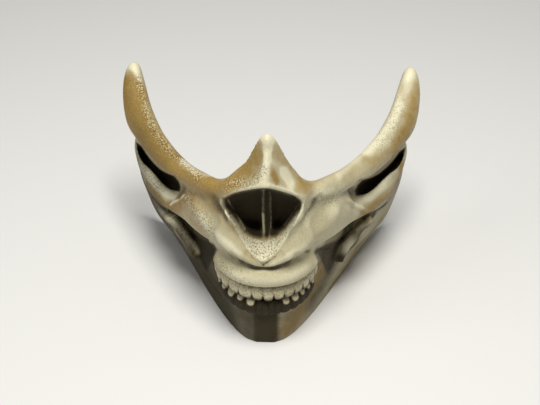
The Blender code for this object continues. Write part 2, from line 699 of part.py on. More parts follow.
def seat_rings():
    """Rings of the space cut out of the shell for both rows of teeth."""
    length, line, out, thick = teeth_plan(step=2.0)
    reach = 39.5 + GAP
    rings = []
    for s in np.linspace(-reach, reach, 41):
        place, way, t = along_teeth(s, length, line, out, thick)
        back, front = place - way * t, place + way * 8.0
        rings.append(
            [(*back, TEETH_BOTTOM), (*front, TEETH_BOTTOM), (*front, TEETH_TOP), (*back, TEETH_TOP)]
        )
    return rings


def tooth_rings(edges, top, bottom, setback, tip):
    """Rings of one row of teeth. The tip is +1 when the biting edge is on top and -1 when it is below."""
    length, line, out, thick = teeth_plan()
    stations = []
    for start, end in zip(edges[:-1], edges[1:]):
        stations += [(start + (end - start) * phase, phase) for phase in TOOTH_PHASES]
    stations.append((edges[-1], 0.0))
    angles = np.linspace(0, 2 * math.pi, TOOTH_SIDES, endpoint=False) + math.pi / TOOTH_SIDES
    across = np.sign(np.cos(angles)) * np.abs(np.cos(angles)) ** 0.5
    through = np.sign(np.sin(angles)) * np.abs(np.sin(angles)) ** 0.5
    rings = []
    for s, phase in stations:
        place, way, t = along_teeth(s, length, line, out, thick)
        fullness = (4 * phase * (1 - phase)) ** 0.4
        front, back = -setback - 1.3 * (1 - fullness), GAP - t
        low, high = bottom, top
        if tip > 0:
            high -= 1.4 * (1 - fullness)
        else:
            low += 1.4 * (1 - fullness)
        level = (low + high) / 2 + (high - low) / 2 * across
        depth = (front + back) / 2 + (front - back) / 2 * through
        rings.append(np.column_stack([place + np.outer(depth, way), level]))
    return rings


def shade(piece, name, colour, roughness):
    material = bpy.data.materials.new(name)
    material.use_nodes = True
    surface = material.node_tree.nodes["Principled BSDF"]
    surface.inputs["Base Color"].default_value = (*colour, 1.0)
    surface.inputs["Roughness"].default_value = roughness
    piece.data.materials.clear()
    piece.data.materials.append(material)
    piece.data.shade_smooth()


def fused(shell):
    """The shell's forms joined into one skin of even faces."""
    fuse = shell.modifiers.new("fuse", "REMESH")
    fuse.mode = "VOXEL"
    fuse.voxel_size = VOXEL * MM
    mesh = baked(shell)
    largest_island(mesh)
    return mesh


def make_shell():
    shell = add_object("face_shell", mesh_from("face_shell", clay()))
    softened(fused(shell), 18, 0.35)
    carved = []
    for i, levels in enumerate(OPENINGS):
        rings = opening_rings(levels)
        carved.append(add_cutter(f"opening_{i}", rings))
        if levels[0][0][0]:
            carved.append(add_cutter(f"opening_{i}_right", mirrored(rings)))
    for cutter in carved:
        cut(shell, cutter)
    mesh = fused(shell)
    for cutter in carved:
        bpy.data.objects.remove(cutter)
    softened(mesh, 4, 0.7)
    blended(mesh, BLENDS)
    modelled(mesh, RIDGES)
    modelled(mesh, CREASES)
    softened(mesh, 2, 0.8)
    thin = shell.modifiers.new("thin", "DECIMATE")
    thin.ratio = SHELL_TRIANGLES / (2 * len(mesh.polygons))
    cut(shell, add_cutter("face_hollow", cavity_rings()))
    below = [[(x, y, z) for y, z in ((-80, -9), (80, -9), (80, 0), (-80, 0))] for x in (-100, 100)]
    cut(shell, add_cutter("ground", below))
    cut(shell, add_cutter("teeth_seat", seat_rings()))
    shade(shell, "shell_bone", (0.5, 0.42, 0.24), 0.5)
    return shell


def make_teeth():
    upper = add_object(
        "upper_teeth",
        mesh_from("upper_teeth", [tooth_rings(UPPER_EDGES, TEETH_TOP - GAP, BITE, 0.0, -1)]),
    )
    shade(upper, "upper_teeth_ivory", (0.66, 0.58, 0.4), 0.4)
    lower = add_object(
        "lower_teeth",
        mesh_from("lower_teeth", [tooth_rings(LOWER_EDGES, BITE - GAP, TEETH_BOTTOM + GAP, OVERBITE, 1)]),
    )
    shade(lower, "lower_teeth_ivory", (0.6, 0.52, 0.36), 0.4)


clear_scene()
make_shell()
make_teeth()
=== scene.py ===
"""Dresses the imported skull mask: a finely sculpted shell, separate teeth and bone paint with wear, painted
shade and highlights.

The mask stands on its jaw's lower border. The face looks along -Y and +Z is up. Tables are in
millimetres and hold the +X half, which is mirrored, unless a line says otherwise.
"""

import math

import bmesh
import bpy
import numpy as np
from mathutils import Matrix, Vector
from mathutils.bvhtree import BVHTree


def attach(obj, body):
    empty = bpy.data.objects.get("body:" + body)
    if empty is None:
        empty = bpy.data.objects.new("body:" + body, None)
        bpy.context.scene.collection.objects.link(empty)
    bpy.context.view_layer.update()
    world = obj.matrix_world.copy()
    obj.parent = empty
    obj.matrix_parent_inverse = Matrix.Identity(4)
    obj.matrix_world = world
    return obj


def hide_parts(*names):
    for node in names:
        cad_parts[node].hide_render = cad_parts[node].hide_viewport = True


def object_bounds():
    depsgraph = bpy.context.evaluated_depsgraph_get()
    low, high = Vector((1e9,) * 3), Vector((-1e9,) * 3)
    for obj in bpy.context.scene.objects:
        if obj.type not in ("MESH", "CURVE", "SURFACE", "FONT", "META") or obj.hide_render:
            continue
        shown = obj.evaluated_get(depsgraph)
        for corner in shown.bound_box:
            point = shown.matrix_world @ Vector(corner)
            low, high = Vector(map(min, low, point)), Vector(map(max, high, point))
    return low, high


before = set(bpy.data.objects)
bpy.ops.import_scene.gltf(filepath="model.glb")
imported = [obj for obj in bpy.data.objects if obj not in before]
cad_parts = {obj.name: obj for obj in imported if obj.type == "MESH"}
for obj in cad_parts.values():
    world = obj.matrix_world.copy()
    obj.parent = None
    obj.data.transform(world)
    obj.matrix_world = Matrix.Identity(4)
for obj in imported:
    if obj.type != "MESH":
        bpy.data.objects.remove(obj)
cad_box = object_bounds()

MM = 0.001
# The face hollow's wall, the core's thickness before it is hollowed, and the bridge's own.
WALL, CLAY, BRIDGE_THICK = 3.0, 9.0, 4.6
# How far the bridge's top leans to the photograph's right, and the heights it leans between.
BRIDGE_LEAN, BRIDGE_LEAN_FROM, BRIDGE_LEAN_TO = 1.4, 110.0, 126.0
# How sharp the bridge's ridge is, as a share of its half width squared, and its way back.
RIDGE_ROUND, BRIDGE_BACK = 0.01, (0.0, 0.74, -0.67)
SHELL_VOXEL, TOOTH_VOXEL = 0.95, 0.4
# Points round a slab, how square its section is, and the spacing of its rings.
RING_SIDES, SQUARENESS, STEP = 28, 3.0, 3.0
# Points along the core's outline, the hollow's outline and an opening's outline.
CORE_POINTS, HOLLOW_POINTS, OPENING_POINTS = 61, 45, 41
# The middle of the tables' depth, which is 0 in the part's frame.
MIDDLE_Y = 1.05
# A place inside the head, which every slab faces away from.
INSIDE = np.array([0.0, 20.0, 60.0])
# The hollow's open back, how far it starts below the jaw, and how much it widens to the back. The
# widening is whole up to one height and gone by the next.
HOLLOW_BACK, HOLLOW_DROP, HOLLOW_FLARE, FLARE_FROM, FLARE_TO = 95.0, 10.0, 1.15, 84.0, 93.0

# The photograph's camera: degrees round and above the mask, millimetres from the place it aims
# at, that place and its pixel, and the focal length in pixels of a frame of this size.
CAMERA_TURN, CAMERA_ABOVE, CAMERA_AWAY = 2.2, 42.0, 480.0
AIM, AIM_PIXEL = (0.0, -12.0, 62.0), (267.2, 216.0)
FOCAL_PIXELS, FRAME_PIXELS = 897.6, (540, 405)

# The core's outline in plan at each height: the height, the front's depth, then pairs of x and
# depth for the chin, the side, the middle and the rear edge.
CORE = (
    (-2, -46.5, 6, -46.1, 15, -40, 31, -16, 56, 33),
    (2, -47.5, 6.2, -47.1, 15.1, -41, 31.3, -16.7, 61, 39),
    (6, -48, 6.3, -47.5, 15.3, -41.5, 31.5, -17, 65.5, 42.5),
    (13, -48.5, 6.5, -48, 16, -41.8, 32.5, -17, 70, 44.5),
    (23, -48.5, 7, -47.8, 17, -41, 34, -17, 72.8, 44.5),
    (34, -45.5, 8, -44.5, 17, -37.5, 35, -15.5, 75, 44),
    (47, -43, 8, -42, 18, -34.5, 35.5, -14, 76.5, 43),
    (60, -41, 8, -40, 18, -33, 37.5, -13, 76.5, 42),
    (74, -35, 8, -34.5, 18, -30, 40, -12, 75, 38),
    (84, -33, 8, -32.5, 18, -28, 42, -11, 73, 34),
    (89, -33, 8, -32.5, 18, -28, 43, -10.5, 71.5, 31.5),
)

# The face hollow's outline above the core, in the same columns.
HOLLOW_TOP = (
    (93, -33, 8, -32.5, 17, -29, 37, -12, 60, 24),
    (102, -36.5, 8, -36, 16.5, -32, 34, -15, 58, 24),
    (112, -41, 7, -40, 14, -36, 31, -18, 58, 24),
    (124, -44, 5, -42.5, 10, -38.5, 30, -18, 58, 24),
    (150, -44, 3, -43.5, 8, -41, 30, -18, 58, 24),
)

# Slabs. Each row gives a place on edge a, a place on edge b, the thickness and the middle's swell.
HORN = (
    (17, -41, 109, 22, -42, 100, 6, 0),
    (24, -35, 106.5, 30, -34.5, 96.5, 7, 0.5),
    (31, -26.5, 103.5, 37.5, -25, 92, 7, 1.5),
    (39.5, -16, 100, 46, -14, 88, 7, 2.2),
    (48.3, -2.5, 97.5, 54.5, -1.5, 84.5, 7, 2.6),
    (57, 12.5, 97.5, 63.5, 12.5, 82.5, 7.5, 2.8),
    (62.9, 25, 99, 70.5, 25, 81.5, 8, 3),
    (66.8, 35, 101, 77.5, 36, 83.5, 8.5, 3),
    (69.7, 44, 104.8, 81, 45.5, 93, 8.5, 3),
    (71.9, 51, 109.5, 81.4, 52, 102, 8, 2.6),
    (73.6, 55.5, 112.8, 80, 56.5, 108.5, 6, 1.8),
    (75.6, 58, 113.4, 77.5, 58.2, 111.9, 2.5, 0.5),
)

ARCH = (
    (36, -26, 86, 35.5, -31, 64, 9, 2),
    (42, -16.5, 81, 43.5, -18, 61, 9, 3.2),
    (48.9, -5.5, 73.5, 51.5, -8, 58, 9, 3.4),
    (55.6, 4, 71, 58.4, 1.5, 55, 8.5, 3.2),
    (63.8, 13.5, 73.5, 66.8, 11, 55, 8, 2.6),
    (69, 23.8, 71.5, 71.8, 21.5, 56, 7, 2),
    (73.5, 32.5, 73, 76.3, 31, 61, 6, 1.5),
    (76.5, 36, 79, 78.3, 36.5, 68, 4, 0.8),
)

CHEEK = (
    (24, -36.5, 104, 24.5, -41, 66, 9, 1),
    (30, -29.5, 100.5, 32, -34, 63.5, 9, 5),
    (37, -21.5, 95, 40.5, -22, 60.5, 9, 5),
    (41, -16, 88, 45, -14.5, 59.5, 8, 3),
)

RAMUS = (
    (68, 24, 74, 77.5, 36, 80, 5, 0.5),
    (61, 7, 64, 79.2, 42, 62, 6, 1),
    (54, -5.5, 54.5, 79.4, 43, 47, 8, 1.2),
    (46.8, -9, 44.2, 77.8, 44, 33.5, 8, 1),
    (40.5, -12, 33, 74.8, 44.5, 20, 6, 1),
    (38.5, -8, 26, 71.5, 44, 11, 5, 0.6),
    (42, 2, 18, 67, 42, 6, 4, 0.3),
)

LIP_BAND = (
    (0, -52.3, 70.5, 0, -52.5, 63.5, 12, 1),
    (9, -50.8, 76, 9.5, -51.5, 64, 12, 1.2),
    (17, -47.5, 86, 18, -47.5, 66, 12, 1.5),
    (22, -43, 95, 24, -42.5, 66, 10, 2),
)

GUM = (
    (0, -51.5, 62.5, 0, -54, 49, 11, 3),
    (10.5, -50.3, 63, 11.5, -51.8, 49, 11, 3),
    (18.5, -46, 64.5, 20.5, -45.5, 49, 10, 3),
    (24, -39.5, 66, 26.3, -37.5, 49, 9, 2.5),
    (26, -31, 66, 28.8, -28, 49, 8, 2),
    (27, -22, 66, 30, -19, 49, 8, 1),
)

NOSE_FILL = (
    (0, -53, 119, 0, -52, 64, 16, 0),
    (8, -52, 116, 9, -51.2, 66, 16, 0),
    (15, -50.6, 110, 15, -49, 72, 15, 0),
    (20, -48.4, 106, 19, -46.5, 78, 12, 0),
)

# The bridge: its edge's x, y and z, its ridge's y and z, and how pinched the ridge is.
BRIDGE = (
    (19, -49.8, 106.8, -56.8, 119, 1),
    (22.5, -42, 108.5, -56.2, 123, 1.25),
    (17, -41.5, 115.5, -54.2, 128, 1.3),
    (12, -42.8, 122.5, -52.2, 133, 1.25),
    (8.2, -43.8, 130.5, -50.2, 138, 1.1),
    (5.4, -44.6, 137.5, -48.6, 141.6, 1),
    (2.6, -45.4, 142.4, -47, 144, 1),
)

NOSE_SIDE = (
    (12, -51.5, 113, 23, -38, 107, 9, -0.5),
    (18.6, -49.6, 106.5, 27.5, -33, 103, 7, -0.6),
    (17.4, -49.2, 99, 29.5, -31, 97, 8, -1),
    (15.7, -49, 90, 30.5, -31.5, 87, 8, -1.2),
    (13.3, -49.6, 80, 29.5, -34, 76, 8, -0.8),
    (9.5, -51, 71, 26, -39.5, 67, 8, 0),
)

POCKET_BACK = (
    (0, -49, 127, 0, -33, 82, 8, 0),
    (8, -45.5, 121, 8, -32.5, 82, 8, 0),
    (16, -41, 110.5, 16, -30, 82, 8, 0),
    (23, -36, 99.5, 24, -26, 82, 7, 0),
    (30, -27, 93.5, 32, -19, 82, 7, 0),
    (38, -16, 89.5, 40, -11, 80, 6, 0),
)

ALVEOLUS = tuple(
    (x, y, 52, x, y, 22, 9, 0)
    for x, y in ((0, -49.5), (10.6, -47.6), (18.6, -42), (23.6, -34.6), (26.2, -26), (27.5, -15))
)

# Openings carved along the photograph's line of sight. Each level is a plane, given by a way and
# a distance along it, then the opening's outline on that plane in pixels of the photograph's frame
# and the outline's scale. An opening whose way turns to the side is mirrored to the right half.
NOSE_RIM = (
    (266, 187.5), (281, 191), (295, 195.5), (302.5, 201), (301, 209), (293, 224), (283, 242), (273, 256),
    (263, 263.5), (253, 256), (243, 241.5), (232, 222), (222.5, 206), (222, 198.5), (232, 193.5),
    (248, 189.5),
)
NOSE_DARK = (
    (266, 187.5), (281, 191), (295, 195.5), (302, 201), (300, 209), (292, 220.5), (284, 230), (276, 236),
    (264, 239), (253, 237), (245, 232), (236, 221), (224.5, 206), (223, 199), (232, 193.5), (248, 189.5),
)
NOSE_LEFT = (
    (262, 188.5), (262.5, 211), (263, 232), (255, 232.5), (246, 228), (237, 217), (228, 207), (225.5, 200.5),
    (234, 195), (248, 190.5),
)
NOSE_RIGHT = (
    (271, 189), (283, 192.5), (294, 197), (300, 202), (297, 210), (289, 220), (282, 229), (272, 232.5),
    (271.5, 211),
)
SLOT = (
    (136, 141), (141.9, 145.8), (147.5, 154.8), (153, 162), (159.5, 168.6), (166, 172.6), (174.4, 175.6),
    (179, 181), (181, 187), (179.5, 191.8), (170, 188.8), (163.2, 183.2), (156.5, 175.6), (149.7, 168),
    (143, 162), (139, 154), (137, 147),
)
SLOT_DEEP = (
    (140, 147), (147, 156.5), (154, 165), (162, 172), (174, 177.5), (178, 182), (179, 186), (177.5, 189.5),
    (170, 186.5), (162, 180), (154, 171), (147, 162.5), (141.5, 153),
)
CHEEK_GAP = (
    (179, 217.5), (186, 225), (193, 232), (200, 237), (208, 240.5), (214, 244), (217.5, 249.5), (213.6, 256),
    (210, 265), (207, 272), (202, 264), (199.5, 256), (197.5, 246), (191, 235.5), (184, 226),
)
FRONT = (0.0, -1.0, 0.0)
SLOPED = (0.0, -0.993, 0.119)
SIDE = (-0.824, -0.567, 0.0)
CHEEK_SIDE = (-0.812, -0.584, 0.0)
RAKED = (0.0, -0.981, -0.196)
OPENINGS = (
    ((SLOPED, 90.0, NOSE_RIM, 1.0), (SLOPED, 59.5, NOSE_RIM, 1.0), (FRONT, 43.0, NOSE_DARK, 1.0)),
    ((FRONT, 50.0, NOSE_LEFT, 1.0), (RAKED, 20.6, NOSE_LEFT, 0.8)),
    ((FRONT, 50.0, NOSE_RIGHT, 1.0), (RAKED, 20.6, NOSE_RIGHT, 0.8)),
    ((SIDE, 60.0, SLOT, 1.0), (SIDE, 42.5, SLOT, 1.0), (SIDE, 39.0, SLOT_DEEP, 1.0)),
    (
        (CHEEK_SIDE, 60.0, CHEEK_GAP, 1.0),
        (CHEEK_SIDE, 39.5, CHEEK_GAP, 1.0),
        (CHEEK_SIDE, 36.6, CHEEK_GAP, 0.85),
    ),
)

# The teeth's outer face in plan: x, y and the row's thickness.
TEETH = (
    (0, -53.2, 5.2),
    (11.3, -51, 5),
    (20, -44.8, 4.6),
    (25.6, -36.6, 4.2),
    (28.2, -27.5, 4),
    (29.2, -20, 4),
)

# Heights of the rows of teeth, the places between crowns along the gum, and the seat's half length
# and reach forward.
TEETH_TOP, BITE, TEETH_BOTTOM = 49.0, 38.0, 26.0
UPPER_EDGES = (-39.5, -33.6, -27.6, -21.3, -14.3, -6.6, -0.8, 4.9, 10.7, 16.4, 22.3, 27.6, 33.2, 38.9)
LOWER_EDGES = (-38.5, -32.0, -25.2, -18.7, -11.4, -4.6, -1.3, 2.1, 5.7, 9.4, 15.6, 21.7, 27.3, 33.0, 38.4)
GAP = 0.3
SEAT_REACH, SEAT_FRONT = 39.5, 8.0


def eased(values, low, high):
    """From 0 at low to 1 at high, gently at both ends."""
    t = np.clip((values - low) / (high - low), 0, 1)
    return t * t * (3 - 2 * t)


def smooth_rows(rows, step=STEP, lead=slice(0, 3)):
    """The table's rows with more rows between them, on a Catmull-Rom curve through them."""
    table = np.array(rows, float)
    before = np.vstack([2 * table[0] - table[1], table, 2 * table[-1] - table[-2]])
    found = []
    for i in range(len(table) - 1):
        p0, p1, p2, p3 = before[i : i + 4]
        steps = max(2, int(np.linalg.norm((p2 - p1)[lead]) / step))
        for t in np.linspace(0, 1, steps, endpoint=False):
            found.append(
                0.5
                * (
                    2 * p1
                    + (p2 - p0) * t
                    + (2 * p0 - 5 * p1 + 4 * p2 - p3) * t**2
                    + (3 * p1 - p0 - 3 * p2 + p3) * t**3
                )
            )
    found.append(table[-1])
    return np.array(found)


def rolled(rings):
    """A closed bmesh through these rings of points, in millimetres: a grid rolled into a tube and capped."""
    rings = np.array(rings, float) - [0.0, MIDDLE_Y, 0.0]
    count, sides = rings.shape[:2]
    made = bmesh.new()
    bmesh.ops.create_grid(made, x_segments=sides, y_segments=count - 1, size=1)
    for i, vertex in enumerate(made.verts):
        row, column = divmod(i, sides + 1)
        vertex.co = Vector(rings[row, column % sides] * MM)
    bmesh.ops.remove_doubles(made, verts=made.verts, dist=0.01 * MM)
    bmesh.ops.holes_fill(made, edges=made.edges, sides=0)
    bmesh.ops.recalc_face_normals(made, faces=made.faces)
    return made


def unit(v):
    return v / max(np.linalg.norm(v), 1e-9)


def slab_rings(rows, behind=1.0):
    """Rings of a slab. Each row gives its edges a and b and this much of its thickness lies behind them."""
    rows = smooth_rows(rows)
    a, b, thick, crown = rows[:, 0:3], rows[:, 3:6], rows[:, 6], rows[:, 7]
    middle = (a + b) / 2
    along = np.gradient(middle, axis=0)
    angles = np.linspace(0, 2 * math.pi, RING_SIDES, endpoint=False)
    across = np.sign(np.cos(angles)) * np.abs(np.cos(angles)) ** (2 / SQUARENESS)
    through = np.sign(np.sin(angles)) * np.abs(np.sin(angles)) ** (2 / SQUARENESS)
    rings = []
    for i in range(len(rows)):
        half = (b[i] - a[i]) / 2
        outward = unit(np.cross(along[i], half))
        if outward @ (middle[i] - INSIDE) < 0:
            outward = -outward
        swell = crown[i] * (1 - across**2)
        depth = thick[i] * ((through + 1) / 2 - behind)
        out = np.outer(swell * (through + 1) / 2 + depth, outward)
        rings.append(middle[i] + np.outer(across, half) + out)
    return rings


def mirrored(rings):
    return np.array(rings) * np.array([-1.0, 1.0, 1.0])


def whole(rows):
    """A table that starts on the middle line, carried on to the other half."""
    rows = np.array(rows, float)
    other = rows[:0:-1].copy()
    other[:, [0, 3]] *= -1
    return np.vstack([other, rows])


def bridge_rings():
    """Rings of the nose bridge, each from one edge over the ridge to the other and back behind."""
    spread = np.sin(np.linspace(-1, 1, 23) * math.pi / 2)
    blunt = math.sqrt(RIDGE_ROUND)
    top = math.sqrt(1 + RIDGE_ROUND) - blunt
    rings = []
    for edge_x, edge_y, edge_z, ridge_y, ridge_z, pinch in smooth_rows(BRIDGE):
        edge = np.array([0, edge_y, edge_z])
        ridge = np.array([0, ridge_y, ridge_z])
        rise = (1 - (np.sqrt(spread**2 + RIDGE_ROUND) - blunt) / top) ** pinch
        line = edge + np.outer(rise, ridge - edge)
        line[:, 0] = edge_x * spread
        thick = BRIDGE_THICK * (0.25 + 0.75 * np.sqrt(1 - spread**2))
        rings.append(np.vstack([line, (line + np.outer(thick, BRIDGE_BACK))[::-1]]))
    return rings


def core_outline(level, inset=0.0):
    """The core's outer line in plan at one level, from its rear edge on -X round the front to +X."""
    z, front_y, chin_x, chin_y, side_x, side_y, mid_x, mid_y, rear_x, rear_y = level
    half = np.array([(0, front_y), (chin_x, chin_y), (side_x, side_y), (mid_x, mid_y), (rear_x, rear_y)])
    points = np.vstack([half[:0:-1] * [-1, 1], half])
    line = smooth_rows(points, step=4.0, lead=slice(0, 2))
    if inset:
        tangent = np.gradient(line, axis=0)
        normal = np.stack([-tangent[:, 1], tangent[:, 0]], axis=1)
        normal /= np.linalg.norm(normal, axis=1)[:, None]
        line = line + normal * inset
    return np.column_stack([line, np.full(len(line), z)])


def core_rings():
    """Rings of the core, thin and open behind: out along its outer face and back along its inner face."""
    rings = []
    for level in smooth_rows(CORE, step=4.0, lead=slice(0, 1)):
        outer, inner = (resample(core_outline(level, inset), CORE_POINTS) for inset in (0.0, CLAY))
        rings.append(np.vstack([outer, inner[::-1]]))
    return rings


def resample(line, count):
    """The line with count points, evenly spaced along it."""
    lengths = np.concatenate([[0], np.cumsum(np.linalg.norm(np.diff(line, axis=0), axis=1))])
    even = np.linspace(0, lengths[-1], count)
    return np.stack([np.interp(even, lengths, line[:, k]) for k in range(3)], axis=1)


def cavity_rings():
    """Rings of the hollow for the wearer's face, open behind and above."""
    lines = [core_outline(level, WALL) for level in CORE]
    lines += [core_outline(level) for level in HOLLOW_TOP]
    lines = [resample(line, HOLLOW_POINTS).ravel() for line in lines]
    lines = smooth_rows(lines, step=5.0, lead=slice(2, 3))
    lines[0][2::3] -= HOLLOW_DROP
    rings = []
    for line in lines.reshape(len(lines), -1, 3):
        far = line[[-1, 0]].copy()
        far[:, 1] = HOLLOW_BACK
        far[:, 0] *= np.interp(far[:, 2], (FLARE_FROM, FLARE_TO), (HOLLOW_FLARE, 1.0))
        rings.append(np.vstack([line, far]))
    return rings


def clay():
    """Every form of the shell as closed rings of points."""
    forms = [core_rings(), bridge_rings()]
    for table in (LIP_BAND, GUM, NOSE_FILL, POCKET_BACK, ALVEOLUS):
        forms.append(slab_rings(whole(table)))
    for table in (NOSE_SIDE, HORN, ARCH, CHEEK, RAMUS):
        rings = slab_rings(table, behind=0.5 if table is HORN else 1.0)
        forms += [rings, mirrored(rings)]
    return forms


def camera_axes():
    """The photograph's camera: ways to its right, up in its picture and back towards it."""
    turn, above = math.radians(CAMERA_TURN), math.radians(CAMERA_ABOVE)
    back = np.array([math.sin(turn) * math.cos(above), -math.cos(turn) * math.cos(above), math.sin(above)])
    right = np.array([math.cos(turn), math.sin(turn), 0.0])
    return right, np.cross(back, right), back


def camera_place():
    return np.array(AIM) + camera_axes()[2] * CAMERA_AWAY


def pixel_way(x, y):
    right, up, back = camera_axes()
    return unit(right * (x - AIM_PIXEL[0]) / FOCAL_PIXELS - up * (y - AIM_PIXEL[1]) / FOCAL_PIXELS - back)


def opening_rings(levels):
    """Rings of an opening from in front of the mask to its bottom."""
    start = camera_place()
    rings = []
    for way, distance, pixels, scale in levels:
        way = np.array(way)
        pixels = np.array(pixels, float)
        loop = smooth_rows(np.vstack([pixels[-1:], pixels, pixels[:2]]), step=3.0, lead=slice(0, 2))
        first = np.argmin(np.linalg.norm(loop - pixels[0], axis=1))
        last = first + 1 + np.argmin(np.linalg.norm(loop[first + 1 :] - pixels[0], axis=1))
        loop = loop[first : last + 1]
        middle = loop.mean(axis=0)
        loop = np.column_stack([middle + (loop - middle) * scale, np.zeros(len(loop))])
        loop = resample(loop, OPENING_POINTS)[:-1]
        ring = []
        for x, y, _ in loop:
            ray = pixel_way(x, y)
            ring.append(start + ray * ((distance - way @ start) / (way @ ray)))
        rings.append(ring)
    return np.array(rings)


def add_object(name, data):
    made = bpy.data.objects.new(name, data)
    bpy.context.scene.collection.objects.link(made)
    return made


def mesh_from(name, rings_list):
    """One mesh holding these forms side by side, not yet fused."""
    mesh = bpy.data.meshes.new(name)
    joined = bmesh.new()
    for rings in rings_list:
        form = rolled(rings)
        form.to_mesh(mesh)
        form.free()
        joined.from_mesh(mesh)
    joined.to_mesh(mesh)
    joined.free()
    return mesh


def cut(piece, name, rings):
    """Takes these rings' form out of the piece once it is baked."""
    cutter = add_object(name, mesh_from(name, [rings]))
    cutter.hide_render = True
    cutter.display_type = "WIRE"
    modifier = piece.modifiers.new("cut " + name, "BOOLEAN")
    modifier.object = cutter
    modifier.operation = "DIFFERENCE"
    modifier.solver = "EXACT"
    return cutter


def largest_island(mesh):
    """Keeps the outermost skin of a fused mesh and drops the skins of pockets sealed inside it."""
    work = bmesh.new()
    work.from_mesh(mesh)
    left = set(work.verts)
    islands = []
    while left:
        island = {left.pop()}
        front = list(island)
        while front:
            for edge in front.pop().link_edges:
                for vertex in edge.verts:
                    if vertex in left:
                        left.discard(vertex)
                        island.add(vertex)
                        front.append(vertex)
        islands.append(island)
    islands.sort(key=len)
    for island in islands[:-1]:
        bmesh.ops.delete(work, geom=list(island), context="VERTS")
    work.to_mesh(mesh)
    work.free()


def baked(piece):
    """The piece's mesh with its modifiers worked out."""
    graph = bpy.context.evaluated_depsgraph_get()
    graph.update()
    mesh = bpy.data.meshes.new_from_object(piece.evaluated_get(graph))
    piece.modifiers.clear()
    piece.data = mesh
    return mesh


def fused(piece, voxel):
    """The piece's forms made one skin, by voxels of this many millimetres."""
    fuse = piece.modifiers.new("fuse", "REMESH")
    fuse.mode = "VOXEL"
    fuse.voxel_size = voxel * MM
    mesh = baked(piece)
    largest_island(mesh)
    return mesh


def places_of(mesh):
    flat = np.empty(len(mesh.vertices) * 3)
    mesh.vertices.foreach_get("co", flat)
    return flat.reshape(-1, 3) / MM


def normals_of(mesh):
    flat = np.empty(len(mesh.vertices) * 3)
    mesh.vertices.foreach_get("normal", flat)
    return flat.reshape(-1, 3)


def set_places(mesh, places):
    mesh.vertices.foreach_set("co", (places * MM).ravel())
    mesh.update()


def neighbour_mean(values, edges, degree):
    count = len(values)
    return np.stack(
        [
            np.bincount(edges[:, 0], values[edges[:, 1], k], count)
            + np.bincount(edges[:, 1], values[edges[:, 0], k], count)
            for k in range(values.shape[1])
        ],
        axis=1,
    ) / degree


def edge_table(mesh):
    """The places that each edge joins, and how many edges meet at each place."""
    edges = np.empty(len(mesh.edges) * 2, dtype=np.int32)
    mesh.edges.foreach_get("vertices", edges)
    edges = edges.reshape(-1, 2)
    degree = np.maximum(np.bincount(edges.ravel(), minlength=len(mesh.vertices)), 1)[:, None]
    return edges, degree


def softened(mesh, rounds, keep):
    """Fills the creases between forms like a thumb on clay, and wears ridges down only a little."""
    edges, degree = edge_table(mesh)
    places = places_of(mesh)
    for _ in range(rounds):
        set_places(mesh, places)
        move = neighbour_mean(places, edges, degree) - places
        outward = (move * normals_of(mesh)).sum(axis=1)
        places = places + move * np.where(outward > 0, 0.5, 0.5 * keep)[:, None]
    set_places(mesh, places)


def teeth_plan(step=0.5):
    """The teeth's outer face in plan: length along it from the middle, place, way out, thickness."""
    half = np.array(TEETH, float)
    line = smooth_rows(np.vstack([half[:0:-1] * [-1, 1, 1], half]), step=step, lead=slice(0, 2))
    along = np.gradient(line[:, :2], axis=0)
    along /= np.linalg.norm(along, axis=1)[:, None]
    out = np.stack([along[:, 1], -along[:, 0]], axis=1)
    length = np.concatenate([[0], np.cumsum(np.linalg.norm(np.diff(line[:, :2], axis=0), axis=1))])
    return length - length[-1] / 2, line[:, :2], out, line[:, 2]


def along_teeth(s, length, line, out, thick):
    place = np.array([np.interp(s, length, line[:, k]) for k in range(2)])
    way = unit(np.array([np.interp(s, length, out[:, k]) for k in range(2)]))
    return place, way, np.interp(s, length, thick)


def seat_rings():
    """Rings of the space cut out of the shell for both rows of teeth."""
    plan = teeth_plan(step=2.0)
    reach = SEAT_REACH + GAP
    rings = []
    for s in np.linspace(-reach, reach, 41):
        place, way, t = along_teeth(s, *plan)
        back, front = place - way * t, place + way * SEAT_FRONT
        rings.append(
            [(*back, TEETH_BOTTOM), (*front, TEETH_BOTTOM), (*front, TEETH_TOP), (*back, TEETH_TOP)]
        )
    return rings


# Strokes of the modelling tool, placed by pixels of the photograph's frame on its left half and
# mirrored to the right. Each gives its reach, its height in millimetres and its line. A sharp
# one has a peaked section and a soft one a rounded section.
RIDGES = (
    ("soft", 4, 0.9, ((134, 64), (143, 87), (144, 107), (153, 124), (166, 142), (179, 157), (194, 172))),
    ("sharp", 2.4, 0.8, ((137, 168), (142, 179), (151, 193), (163, 204), (169, 207))),
    ("soft", 1.8, 0.9, ((170, 205), (177, 201), (185, 196))),
    ("soft", 3.2, 4.6, ((169, 213), (177, 221), (184, 231.5), (190, 240), (195, 248), (198, 254))),
    ("soft", 9, 1.5, ((198, 210), (210, 226), (224, 240), (236, 250))),
    ("soft", 4.5, 0.9, ((226, 242), (238, 252), (250, 259.5), (263, 265.5))),
    ("sharp", 1.6, 0.8, (
        (222, 199), (221, 204), (225, 211), (233, 223), (241, 237), (251, 252), (261, 262),
    )),
    ("sharp", 1.8, 0.5, ((223, 196.5), (232, 191.5), (245, 188), (256, 186), (267, 185.5))),
    ("soft", 3, 0.6, ((213, 262), (219, 275), (230, 284), (245, 290))),
    ("sharp", 2.6, 0.4, ((256, 314), (256, 322), (256, 332), (256, 341))),
)
